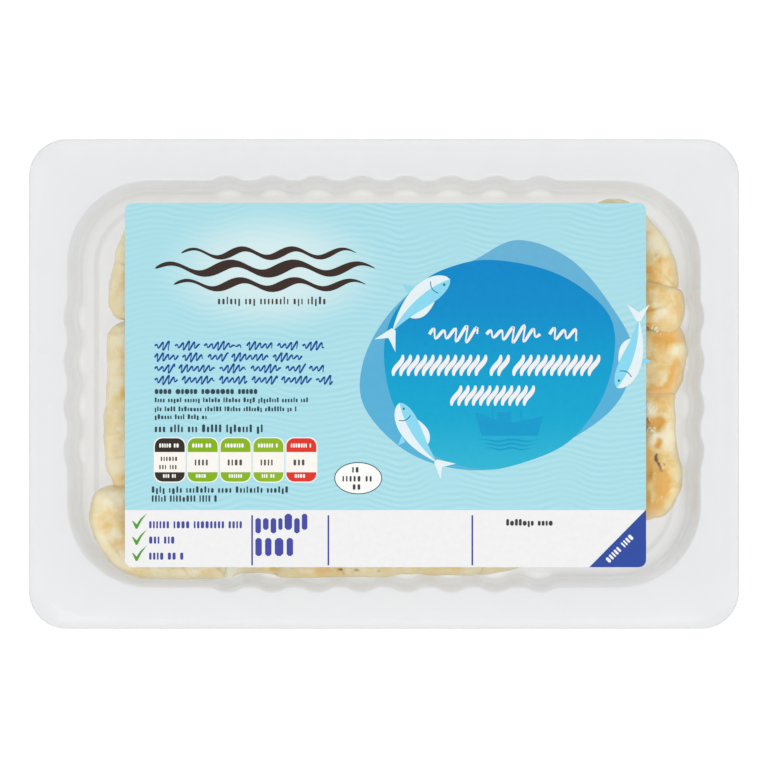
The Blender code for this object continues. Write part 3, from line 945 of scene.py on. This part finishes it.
# %% The film's sheet
FILM = 0.16 * MM
FILM_CLEAR = 0.03 * MM   # above the flange, so that the two never share a plane
FILM_INSET = 0.15 * MM   # in from the flange's edge
FILM_HAZE = 0.03
film_low = flange_top + FILM_CLEAR
film_top = film_low + FILM
shares = np.linspace(0.0, 1.0, 14)
film_edge = flange_edge[::2] * (1.0 - FILM_INSET / PACK_HALF.mean())
film_rings = [np.column_stack((film_edge * s, np.full(len(film_edge), film_low))) for s in shares]
film_rings += [
    np.column_stack((film_edge * s, np.full(len(film_edge), film_top))) for s in shares[::-1]
]
film = closed_skin("clear_film", film_rings)
paint(film, "haze", np.full(len(film.data.vertices), FILM_HAZE))
film_plastic = clear_plastic("lidding film", 0.30, 3.0, "#d8dadc", 0.06, 0.04 * MM)
finish_piece(film, film_plastic, "clear_film", "lid_film")

# %% [markdown]
# ## The label
#
# The label is coated paper, printed in pale blue with fine waves, with a lighter glow behind the
# place for a name. Its sheet is a rounded rectangle shrunk to its centre. One corner has a print
# that invites peeling, and it stands up a little. Every ink shape lies on the same height function,
# so it follows that corner.

# %% The label's sheet
label_low, label_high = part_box("label")
LABEL_SIZE = np.array((label_high.x - label_low.x, label_high.y - label_low.y))
LABEL_CORNER = 2.0 * MM
PAPER = 0.14 * MM
LABEL_CLEAR = 0.02 * MM  # above the film
PEEL_FROM = np.array((112.0, 14.0))    # millimetres on the label
PEEL_WAY = np.array((0.72, -0.70))     # from there towards the corner
PEEL_START, PEEL_LENGTH = 10.0, 20.0   # millimetres along that way
PEEL_LIFT = 0.30 * MM
paper_low = film_top + LABEL_CLEAR
paper_top = paper_low + PAPER


def on_label(points):
    """Millimetres from the label's lower left corner, as metres in the pack's frame."""
    return np.asarray(points, float) * MM + (label_low.x, label_low.y)


def corner_lift(flat):
    """How far the peel corner stands up: nothing up to a slanting line, and ever steeper past it.

    It is the full lift times the square of the share of the peel's length that lies behind.
    """
    local = (flat - (label_low.x, label_low.y)) / MM
    past = (local - PEEL_FROM) @ PEEL_WAY
    return PEEL_LIFT * np.clip((past - PEEL_START) / PEEL_LENGTH, 0.0, 1.0) ** 2


def rounded_outline(width, height, radius, steps=6):
    """A rounded rectangle round the origin, anticlockwise, with points also along its sides."""
    turn = np.linspace(0.0, np.pi / 2, steps + 1)
    quarter = np.column_stack((np.cos(turn), np.sin(turn))) * radius
    corners = []
    for k, (sx, sy) in enumerate(((1, 1), (-1, 1), (-1, -1), (1, -1))):
        c, s = round(math.cos(k * math.pi / 2)), round(math.sin(k * math.pi / 2))
        turned = quarter @ np.array(((c, s), (-s, c)))
        corners.append(turned + (sx * (width / 2 - radius), sy * (height / 2 - radius)))
    return np.concatenate(corners)


def refine(outline, spacing):
    """Add points along a closed outline so that no gap is longer than the spacing."""
    closed = np.vstack((outline, outline[:1]))
    length = np.hypot(*np.diff(closed, axis=0).T)
    parts = [
        closed[k] + (closed[k + 1] - closed[k]) * np.arange(n)[:, None] / n
        for k, n in enumerate(np.maximum(1, np.ceil(length / spacing)).astype(int))
    ]
    return np.concatenate(parts)


label_outline = refine(rounded_outline(*(LABEL_SIZE / MM), LABEL_CORNER / MM), 1.5)
label_outline = on_label(label_outline + LABEL_SIZE / MM / 2)
label_centre = np.array((label_low.x + label_high.x, label_low.y + label_high.y)) / 2
spread = np.linspace(0.0, 1.0, 40)
label_rings = []
for height, shares in ((paper_low, spread), (paper_top, np.linspace(1.0, 0.0, 40))):
    for share in shares:
        flat = label_centre + (label_outline - label_centre) * share
        label_rings.append(np.column_stack((flat, height + corner_lift(flat))))
label = closed_skin("paper_label", label_rings)
label.data.set_sharp_from_angle(angle=math.radians(40))


# %% The label's paper
WAVE_PITCH = 1.6 * MM
SWING_LENGTH, SWING_HEIGHT = 27.0 * MM, 1.1 * MM
DRIFT_LENGTH, DRIFT_HEIGHT = 15.0 * MM, 5.0 * MM
GLOW_AT = (38.8, 79.5)   # millimetres on the label
GLOW_REACH = (27.0 * MM, 15.0 * MM)


def printed_paper():
    """Satin coated paper with a pale blue flood coat, fine printed waves and an oval glow."""
    material, tree, shader = new_material("satin coated label paper")
    shader.inputs["Specular IOR Level"].default_value = 0.3
    place = add(tree, "TexCoord").outputs["Object"]
    split = add(tree, "SeparateXYZ", {0: place})
    swing = add(tree, "Math", {
        0: split.outputs["X"], 1: 2.0 * math.pi / SWING_LENGTH,
    }, operation="MULTIPLY")
    swing = add(tree, "Math", {0: swing.outputs[0]}, operation="SINE")
    drift = add(tree, "TexNoise", {"Vector": place, "Scale": 1.0 / DRIFT_LENGTH, "Detail": 2.0})
    bent = add(tree, "Math", {
        0: swing.outputs[0], 1: SWING_HEIGHT, 2: split.outputs["Y"],
    }, operation="MULTIPLY_ADD")
    bent = add(tree, "Math", {
        0: drift.outputs["Fac"], 1: DRIFT_HEIGHT, 2: bent.outputs[0],
    }, operation="MULTIPLY_ADD")
    wave = add(tree, "Math", {
        0: bent.outputs[0], 1: 2.0 * math.pi / WAVE_PITCH,
    }, operation="MULTIPLY")
    wave = add(tree, "Math", {0: wave.outputs[0]}, operation="SINE")
    fade = add(tree, "MapRange", {
        "Value": drift.outputs["Fac"], "From Min": 0.35, "From Max": 0.65,
        "To Min": 0.2, "To Max": 1.0,
    })
    wave = add(tree, "Math", {0: wave.outputs[0], 1: fade.outputs[0]}, operation="MULTIPLY")
    share = add(tree, "MapRange", {"Value": wave.outputs[0], "From Min": -1.0, "From Max": 1.0})
    blue = add(tree, "Mix", {
        "Factor": share.outputs[0], 6: tint("#9ad2df"), 7: tint("#abdbe2"),
    }, data_type="RGBA")
    glow_x, glow_y = on_label(GLOW_AT)
    centred = add(tree, "Mapping", {
        "Vector": place,
        "Location": (-glow_x / GLOW_REACH[0], -glow_y / GLOW_REACH[1], 0.0),
        "Scale": (1.0 / GLOW_REACH[0], 1.0 / GLOW_REACH[1], 0.0),
    })
    reach = add(tree, "VectorMath", {0: centred.outputs[0]}, operation="LENGTH")
    glow = add(tree, "MapRange", {
        "Value": reach.outputs["Value"], "From Min": 1.25, "From Max": 0.35, "To Max": 0.8,
    }, interpolation_type="SMOOTHSTEP")
    colour = add(tree, "Mix", {
        "Factor": glow.outputs[0], 6: blue.outputs[2], 7: tint("#d6e8e8"),
    }, data_type="RGBA")
    tree.links.new(colour.outputs[2], shader.inputs["Base Color"])
    tooth = add(tree, "TexNoise", {"Vector": place, "Scale": 1.0 / (0.6 * MM), "Detail": 3.0})
    bump = add(tree, "Bump", {
        "Height": tooth.outputs["Fac"], "Distance": 0.01 * MM, "Strength": 0.5,
    })
    tree.links.new(bump.outputs["Normal"], shader.inputs["Normal"])
    gloss = add(tree, "MapRange", {"Value": drift.outputs["Fac"], "To Min": 0.32, "To Max": 0.48})
    tree.links.new(gloss.outputs[0], shader.inputs["Roughness"])
    return material


finish_piece(label, printed_paper(), "printed_label", "label")

# %% [markdown]
# ## Printing with flat shapes
#
# Ink is drawn as very thin shapes that lie on the paper: each is a fan from its centre to its
# outline, or a band between two edges. A shape keeps its own colour in an attribute, and one
# material reads it, so a whole group of shapes is one mesh. Nothing here is lettering: words are
# rows of plain blocks, and names and titles are replaced by waves and twisted bands.

# %% Ink shapes
INK = 0.02 * MM          # how far each layer of ink lies above the last


def fan(outline, centre=None):
    """A filled shape: its outline, shrunk once to halfway, and a centre point."""
    outline = np.asarray(outline, float)
    centre = outline.mean(axis=0) if centre is None else np.asarray(centre, float)
    n = len(outline)
    points = np.vstack((outline, (outline + centre) / 2, centre))
    k = np.arange(n)
    nxt = np.roll(k, -1)
    quads = np.column_stack((k, nxt, nxt + n, k + n))
    tips = np.column_stack((k + n, nxt + n, np.full(n, 2 * n)))
    return points, (quads, tips)


def band(edge, other):
    """A strip between two edges that have the same number of points, edge on the right."""
    points = np.vstack((edge, other))
    return points, (grid_faces(2, len(edge), wrap=False),)


def sheet(rows, left, right, columns):
    """A fill between a left and a right edge that are given row by row, with many columns."""
    share = np.linspace(0.0, 1.0, columns)
    x = left[:, None] + (right - left)[:, None] * share
    points = np.dstack((x, rows[:, None] + 0.0 * x)).reshape(-1, 2)
    return points, (grid_faces(len(rows), columns, wrap=False),)


def box_shape(x, y, width, height, radius=0.0, steps=3):
    """A rounded rectangle with its lower left corner at x, y, in millimetres on the label."""
    if radius <= 0.0:
        ends = np.array((x, x + width))
        return band(
            np.column_stack((ends, (y, y))), np.column_stack((ends, (y + height, y + height)))
        )
    outline = rounded_outline(width, height, min(radius, width / 2.01, height / 2.01), steps)
    return fan(outline + (x + width / 2, y + height / 2))


def stroke(path, widths):
    """A brush stroke: a band whose edges lie half its width to each side of a path."""
    path = np.asarray(path, float)
    way = np.gradient(path, axis=0)
    way /= np.maximum(np.hypot(*way.T), 1e-9)[:, None]
    side = np.column_stack((-way[:, 1], way[:, 0])) * np.asarray(widths)[:, None] / 2
    return band(path - side, path + side)


def press(name, layer, shapes):
    """Print shapes as one thin mesh. shapes lists a shape and its colour, or a colour per point."""
    points, faces, colours, start = [], [], [], 0
    for (flat, parts), colour in shapes:
        placed = on_label(flat)
        height = paper_top + corner_lift(placed) + layer * INK
        points.append(np.column_stack((placed, height)))
        faces += [part + start for part in parts]
        colour = np.atleast_2d(tint(colour) if isinstance(colour, str) else colour)
        colours.append(np.broadcast_to(colour, (len(flat), 4)))
        start += len(flat)
    points = np.concatenate(points)
    piece = new_object(name, points, faces)
    piece.data.shade_flat()
    ink = piece.data.attributes.new("ink", "FLOAT_COLOR", "POINT")
    ink.data.foreach_set("color", np.concatenate(colours).astype(np.float32).ravel())
    thick = piece.modifiers.new("ink film", "SOLIDIFY")
    thick.thickness = 0.6 * INK
    thick.offset = 1.0
    finish_piece(piece, label_ink, "printed_label")
    return piece


def printing_ink():
    """Flexographic ink on coated paper: the shape's colour, a little uneven, with a satin shine."""
    material, tree, shader = new_material("flexographic ink")
    shader.inputs["Specular IOR Level"].default_value = 0.1
    place = add(tree, "TexCoord").outputs["Object"]
    ink = add(tree, "Attribute", attribute_name="ink")
    mottle = add(tree, "TexNoise", {"Vector": place, "Scale": 1.0 / (1.5 * MM), "Detail": 3.0})
    change = add(tree, "MapRange", {"Value": mottle.outputs["Fac"], "To Min": 0.96, "To Max": 1.04})
    colour = add(tree, "VectorMath", {
        0: ink.outputs["Color"], "Scale": change.outputs[0],
    }, operation="SCALE")
    tree.links.new(colour.outputs[0], shader.inputs["Base Color"])
    gloss = add(tree, "MapRange", {"Value": mottle.outputs["Fac"], "To Min": 0.3, "To Max": 0.45})
    tree.links.new(gloss.outputs[0], shader.inputs["Roughness"])
    bump = add(tree, "Bump", {
        "Height": mottle.outputs["Fac"], "Distance": 0.01 * MM, "Strength": 0.4,
    })
    tree.links.new(bump.outputs["Normal"], shader.inputs["Normal"])
    return material


label_ink = printing_ink()

# %% Fields: the white strip, its dividers and the peel corner
WHITE, NAVY = "#eaeaea", "#45499a"
STRIP_HEIGHT = 15.3      # millimetres, as are all measures on the label from here on
DIVIDERS = (33.8, 54.2, 92.7)
PEEL_FOOT, PEEL_SLANT = 124.2, 15.2 / 15.4

width_mm = LABEL_SIZE[0] / MM
corner_mm = LABEL_CORNER / MM
rows = np.linspace(0.0, corner_mm, 8, endpoint=False)
rows = np.concatenate((rows, np.linspace(corner_mm, STRIP_HEIGHT, 12)))
turn_in = corner_mm - np.sqrt(corner_mm ** 2 - np.clip(corner_mm - rows, 0.0, corner_mm) ** 2)
press("print_strip", 1, [(sheet(rows, turn_in, width_mm - turn_in, 90), WHITE)])
dividers = [(box_shape(x, 0.5, 0.45, 13.4), NAVY) for x in DIVIDERS]
peel = sheet(rows, PEEL_FOOT + rows * PEEL_SLANT, width_mm - turn_in, 14)
press("print_dividers", 2, dividers + [(peel, "#2e4a9c")])

# %% The pool: two soft blobs of blue
outer_pool = smooth_loop((
    (105, 87.5), (119, 82.5), (130, 70), (136, 57), (130.5, 42.5), (113, 31), (95, 25.9), (77, 30),
    (64.5, 42), (63.5, 54), (70, 67), (82, 78), (93, 82),
))
inner_pool = smooth_loop((
    (98, 82.2), (112, 79.8), (122.5, 74.5), (130, 66.5), (130.8, 56), (127, 44), (118.5, 33.4),
    (106, 27.8), (95, 26.2), (82, 30.5), (72.5, 42), (69.3, 56), (71.5, 67), (79.5, 76.3),
    (88, 80.6),
))


def shaded(shape, stops):
    """Colour each point of a shape by its height on the label, between stops of y and colour."""
    heights, codes = zip(*stops)
    table = np.array([tint(code) for code in codes])
    y = shape[0][:, 1]
    return shape, np.column_stack([np.interp(y, heights, column) for column in table.T])


def nested_fan(outline, rings):
    """A filled shape with several rings, so that a shade can change across it."""
    centre = outline.mean(axis=0)
    n = len(outline)
    shares = 1.0 - np.arange(rings) / rings
    points = np.vstack([centre + (outline - centre) * s for s in shares] + [centre])
    last = np.arange(n) + (rings - 1) * n
    tips = np.column_stack((last, np.roll(last, -1), np.full(n, rings * n)))
    return points, (grid_faces(rings, n), tips)


press("print_pool_outer", 1, [
    shaded(nested_fan(outer_pool, 8), ((26, "#54aed2"), (50, "#54aad1"), (88, "#66adcf"))),
])
press("print_pool_inner", 2, [
    shaded(nested_fan(inner_pool, 12), (
        (26, "#2cb0cd"), (40, "#08a2ca"), (55, "#0099c8"), (68, "#0089c4"), (82, "#0083c3"),
    )),
])

# %% Fish in the print
def fish(x, y, length, heading, bend, fat):
    """A plain fish: a body carried along a bent spine, a pale belly, fins, a tail and an eye.

    The spine turns evenly by bend degrees from nose to tail. The body's half width is a sine of
    the way along it, with its fullest place nearer the nose.
    """
    t = np.linspace(0.0, 1.0, 40)
    angle = np.radians(heading + bend * (t - 0.5))
    way = np.column_stack((np.cos(angle), np.sin(angle)))
    steps = np.vstack(((0.0, 0.0), np.cumsum(way[:-1], axis=0)))
    spine = np.array((x, y)) + steps * length / (len(t) - 1)
    side = np.column_stack((-way[:, 1], way[:, 0]))
    half = fat * length * (np.sin(np.pi * t ** 0.62) * 0.93 + 0.07 * t)[:, None]
    pale, cool, dark = "#dfebee", "#86d3ea", "#2e7c9c"
    rear, across, along = spine[-1], side[-1], way[-1]
    tail = fan(np.array((
        rear + across * 0.03 * length, rear + along * 0.24 * length + across * 0.17 * length,
        rear + along * 0.13 * length, rear + along * 0.24 * length - across * 0.15 * length,
        rear - across * 0.03 * length,
    ))[::-1])
    body = band(spine - side * half, spine + side * half * 0.92)
    belly = band(spine - side * half, spine - side * half * 0.12)
    fin = slice(12, 30)
    swell = np.sin(np.pi * np.linspace(0.0, 1.0, 18))[:, None] ** 0.7 * 0.09 * length
    ridge = spine[fin] + side[fin] * half[fin] * 0.8
    back = band(ridge, ridge + side[fin] * swell + way[fin] * swell * 0.6)
    under = spine[16] - side[16] * half[16]
    flap = fan(np.array((
        under + way[16] * 0.02 * length, under - side[16] * 0.12 * length + way[16] * 0.12 * length,
        under + way[16] * 0.13 * length,
    )))
    gill = spine[9] + side[9] * half[9] * np.linspace(0.55, -0.65, 9)[:, None]
    gill = gill + way[9] * 0.035 * length * np.sin(np.linspace(0, np.pi, 9))[:, None]
    ring = np.linspace(0.0, 2.0 * np.pi, 12, endpoint=False)
    eye = spine[4] + side[4] * half[4] * 0.25
    eye = fan(eye + np.column_stack((np.cos(ring), np.sin(ring))) * 0.018 * length)
    low = [(tail, pale), (back, pale), (flap, cool)]
    high = [(body, cool)]
    top = [(belly, pale)]
    marks = [(stroke(gill, np.full(9, 0.25)), dark), (eye, dark)]
    return low, high, top, marks


school = (fish(87.0, 77.0, 20.5, 222.0, 34.0, 0.17), fish(131.5, 48.0, 19.0, 72.0, 34.0, 0.17),
          fish(73.5, 44.0, 18.5, -58.0, 30.0, 0.17))
for level, part in enumerate(("fins", "bodies", "bellies", "marks")):
    press("print_fish_" + part, 3 + level, [item for one in school for item in one[level]])

# %% A small boat, a little darker than the pool
hull = fan(np.array((
    (93.6, 41.4), (95.4, 35.2), (110.4, 35.2), (111.8, 40.4), (105.5, 38.8), (98.0, 38.8),
)))
house = box_shape(99.6, 38.9, 3.6, 2.5)
masts = [box_shape(x, 38.9, 0.3, tall) for x, tall in ((98.2, 4.0), (105.8, 3.4))]
ripples = [
    stroke(np.column_stack((np.linspace(94 + k, 111 - k, 24),
                            33.9 - 1.1 * k + 0.25 * np.sin(np.linspace(0, 14, 24)))),
           0.5 * np.sin(np.linspace(0, np.pi, 24)))
    for k in range(3)
]
press("print_boat", 3, [(shape, "#0b96c6") for shape in (hull, house, *masts, *ripples)])

# %% Words as rows of blocks
pick = np.random.RandomState(7)


def words(x, y, reach, size, colour, weight=0.46, pitch=0.72, tall=0.3, turn=0.0):
    """A line of made-up words: each letter's place is a plain upright block.

    Blocks are about as wide as weight times the pitch and as high as the line's size. Some stand
    taller or hang lower, and a gap parts the words.
    """
    shapes = []
    step = size * pitch
    place, left = 0.0, pick.randint(3, 9)
    spin = np.array(((math.cos(turn), math.sin(turn)), (-math.sin(turn), math.cos(turn))))
    while place + step <= reach:
        if left == 0:
            place += step * 0.8
            left = pick.randint(2, 9)
            continue
        wide = step * weight * pick.choice((0.75, 1.0, 1.0, 1.35))
        chance = pick.uniform()
        up = size * 0.38 if chance < tall else 0.0
        down = size * 0.3 if chance > 1.0 - tall * 0.35 else 0.0
        flat, parts = box_shape(place, -down, wide, size + up + down, wide * 0.3, 1)
        shapes.append(((flat @ spin + (x, y), parts), colour))
        place += wide + step * (1.0 - weight)
        left -= 1
    return shapes


def scribble(x, y, reach, size, colour, weight, slant=0.35):
    """A line of running hand that says nothing: a slanted sine wave of changing height."""
    shapes, place = [], 0.0
    while place < reach - size:
        length = min(pick.uniform(3.0, 8.5) * size * 0.5, reach - place)
        t = np.linspace(0.0, 1.0, max(12, int(length / size * 18)))
        beat = 2.0 * np.pi * length / (size * 0.62) * t
        tall = 0.5 + 0.28 * np.sin(beat * 0.23 + pick.uniform(0, 6)) + 0.22 * np.sin(beat * 0.11)
        rise = size * 0.55 * tall * np.sin(beat)
        path = np.column_stack((x + place + length * t + slant * rise, y + size * 0.5 + rise))
        shapes.append((stroke(path, weight * (0.75 + 0.25 * np.sin(beat + 1.2))), colour))
        place += length + size * 0.55
    return shapes


SCRIPT, SMALL = "#0d4a96", "#2b4450"
copy = []
for row, reach in enumerate((45.3, 42.6, 45.3, 47.6)):
    copy += scribble(8.0, 58.0 - 3.05 * row, reach, 2.4, SCRIPT, 0.5)
copy += words(8.0, 46.3, 28.7, 1.35, SMALL, 0.80, 0.86, 0.0)
for y, reach in ((44.1, 42.0), (41.7, 38.8), (39.6, 14.7)):
    copy += words(8.0, y, reach, 0.95, SMALL, 0.60, 0.80)
copy += words(8.0, 36.1, 30.0, 1.5, SMALL, 0.56, 0.72)
copy += words(7.2, 19.9, 37.0, 1.25, SMALL, 0.52, 0.76)
copy += words(7.2, 17.5, 18.5, 1.25, SMALL, 0.52, 0.70, 0.6)
copy += words(102.0, 11.1, 13.9, 1.3, "#3c3c3c", 0.72, 0.80, 0.3)
for y, reach in ((10.4, 26.4), (6.3, 7.0), (2.0, 9.7)):
    copy += words(6.5, y, reach, 1.9, NAVY, 0.60, 0.54, 0.0)
copy += words(34.9, 10.0, 15.0, 3.1, "#4349a0", 0.72, 0.66, 0.25)
copy += words(34.9, 3.0, 12.6, 4.8, "#4349a0", 0.72, 0.66, 0.0)
copy += words(129.6, 1.1, 11.2, 1.6, WHITE, 0.62, 0.62, 0.0, math.radians(45.4))
copy += words(24.9, 70.3, 30.5, 1.5, "#46423f", 0.42, 0.68, 0.35)
press("print_copy", 3, copy)

# %% The place for a name: three brushed waves
BROWN = "#382924"
BRUSHED = (              # height on the label, left and right end, lift of the wave, thickness
    (84.0, 15.0, 62.0, 1.1, 2.0),
    (79.9, 8.0, 67.0, 1.3, 3.0),
    (75.6, 13.0, 64.5, 1.1, 2.4),
)
t = np.linspace(0.0, 1.0, 120)
taper = np.sin(np.pi * t) ** 0.45 * (0.72 + 0.28 * np.cos(22 * t))
swing = np.sin(2.0 * np.pi * 3.5 * t)
waves = []
for y, left, right, lift, thick in BRUSHED:
    path = np.column_stack((left + (right - left) * t, y + lift * swing))
    waves.append((stroke(path, thick * taper), BROWN))
press("print_waves", 3, waves)

# %% The titles in the pool: a looping line and two twisted bands
def twisted_band(x, y, reach, height, gaps):
    """A rope twist: slanted leaves side by side, left out where a gap is."""
    shapes = []
    pitch = height * 0.36
    for place in np.arange(0.0, reach - pitch, pitch):
        if any(low <= place <= high for low, high in gaps):
            continue
        t = np.linspace(0.0, 1.0, 14)
        lean = np.column_stack((x + place + pitch * 1.25 * t, y + height * t))
        lean[:, 0] += pitch * 0.22 * np.sin(2.0 * np.pi * (t - 0.5))
        widths = pitch * 0.66 * np.sin(np.pi * (0.04 + 0.92 * t)) ** 0.5
        shapes.append((stroke(lean, widths), WHITE))
    return shapes


titles = scribble(81.4, 60.0, 40.0, 4.6, WHITE, 0.85)
titles += twisted_band(71.8, 51.2, 55.0, 5.6, ((22.5, 24.5), (29.0, 31.0)))
titles += twisted_band(87.4, 43.2, 23.0, 5.4, ())
press("print_titles", 4, titles)

# %% The nutrition panel and the oval stamp
HEADS = ("#312a23", "#80ae14", "#84b01a", "#8ab222", "#da3225")
CELL_WIDTH, CELL_HEIGHT, CELL_PITCH, CELL_ROUND = 8.0, 11.6, 8.8, 2.1
FIRST_CELL, PANEL_MIDDLE = 8.0, 28.7   # the first cell's left edge, the height of every centre
HEAD_FROM, FOOT_TO = 2.1, -3.3         # from a cell's centre to where its head and foot begin
FRAME_SWELL = (1.07, 1.045)            # how much larger the pale frame is than the cell
CELL_PALE, CELL_INK, NOTE_PALE = "#f3efe9", "#55504c", "#f4f4f0"
STAMP_AT, STAMP_HALF = (62.4, 23.8), (6.4, 4.3)
STAMP_INK, STAMP_PALE = "#3d4044", "#f4f4f2"
STAMP_INSIDE = (0.962, 0.944)          # the pale inside as a share of the stamp

half = CELL_WIDTH / 2
outline = rounded_outline(CELL_WIDTH, CELL_HEIGHT, CELL_ROUND, 6)
upper = np.vstack((outline[outline[:, 1] > HEAD_FROM], (-half, HEAD_FROM), (half, HEAD_FROM)))
lower = np.vstack(((half, FOOT_TO), (-half, FOOT_TO), outline[outline[:, 1] < FOOT_TO]))
cells, fields, notes = [], [], []
for index, head in enumerate(HEADS):
    x = FIRST_CELL + CELL_PITCH * index
    centre = (x + half, PANEL_MIDDLE)
    cells.append((fan(outline * FRAME_SWELL + centre), CELL_PALE))
    fields += [(fan(upper + centre), head), (fan(lower + centre), head)]
    notes += words(x + 1.2, 32.0, 5.8, 1.1, NOTE_PALE, 0.66, 0.62, 0.0)
    notes += words(x + 2.2, 23.9, 3.8, 1.0, NOTE_PALE, 0.66, 0.66, 0.0)
    if index:
        notes += words(x + 1.9, 27.2, 4.4, 1.6, CELL_INK, 0.5, 0.64, 0.0)
    else:
        notes += words(x + 1.6, 28.4, 4.9, 1.15, CELL_INK, 0.5, 0.66, 0.0)
        notes += words(x + 1.2, 26.2, 5.7, 1.15, CELL_INK, 0.5, 0.66, 0.0)
circle = np.linspace(0.0, 2.0 * np.pi, 64, endpoint=False)
oval = np.column_stack((np.cos(circle), np.sin(circle))) * STAMP_HALF
cells.append((fan(oval + STAMP_AT), STAMP_INK))
fields.append((fan(oval * STAMP_INSIDE + STAMP_AT), STAMP_PALE))
for y, reach in ((25.3, 3.2), (22.9, 8.4), (20.7, 2.9)):
    notes += words(STAMP_AT[0] - reach / 2, y, reach, 1.5, STAMP_INK, 0.5, 0.72, 0.0)
press("print_panel_cells", 1, cells)
press("print_panel_fields", 2, fields)
press("print_panel_notes", 3, notes)

# %% Three ticks
def tick(x, y):
    """A brushed tick: one outline round its short stroke and its long one, thin at both ends."""
    knots = np.array((
        (0.0, 2.1), (0.35, 2.05), (1.25, 1.15), (2.3, 2.7), (4.0, 4.1), (2.6, 2.2), (1.45, 0.0),
        (1.0, -0.05), (0.55, 0.9),
    ))[::-1]
    return fan(knots + (x, y), (1.15, 0.6) + np.array((x, y))), "#4f9a30"


press("print_ticks", 2, [tick(1.9, y) for y in (10.3, 6.0, 1.7)])
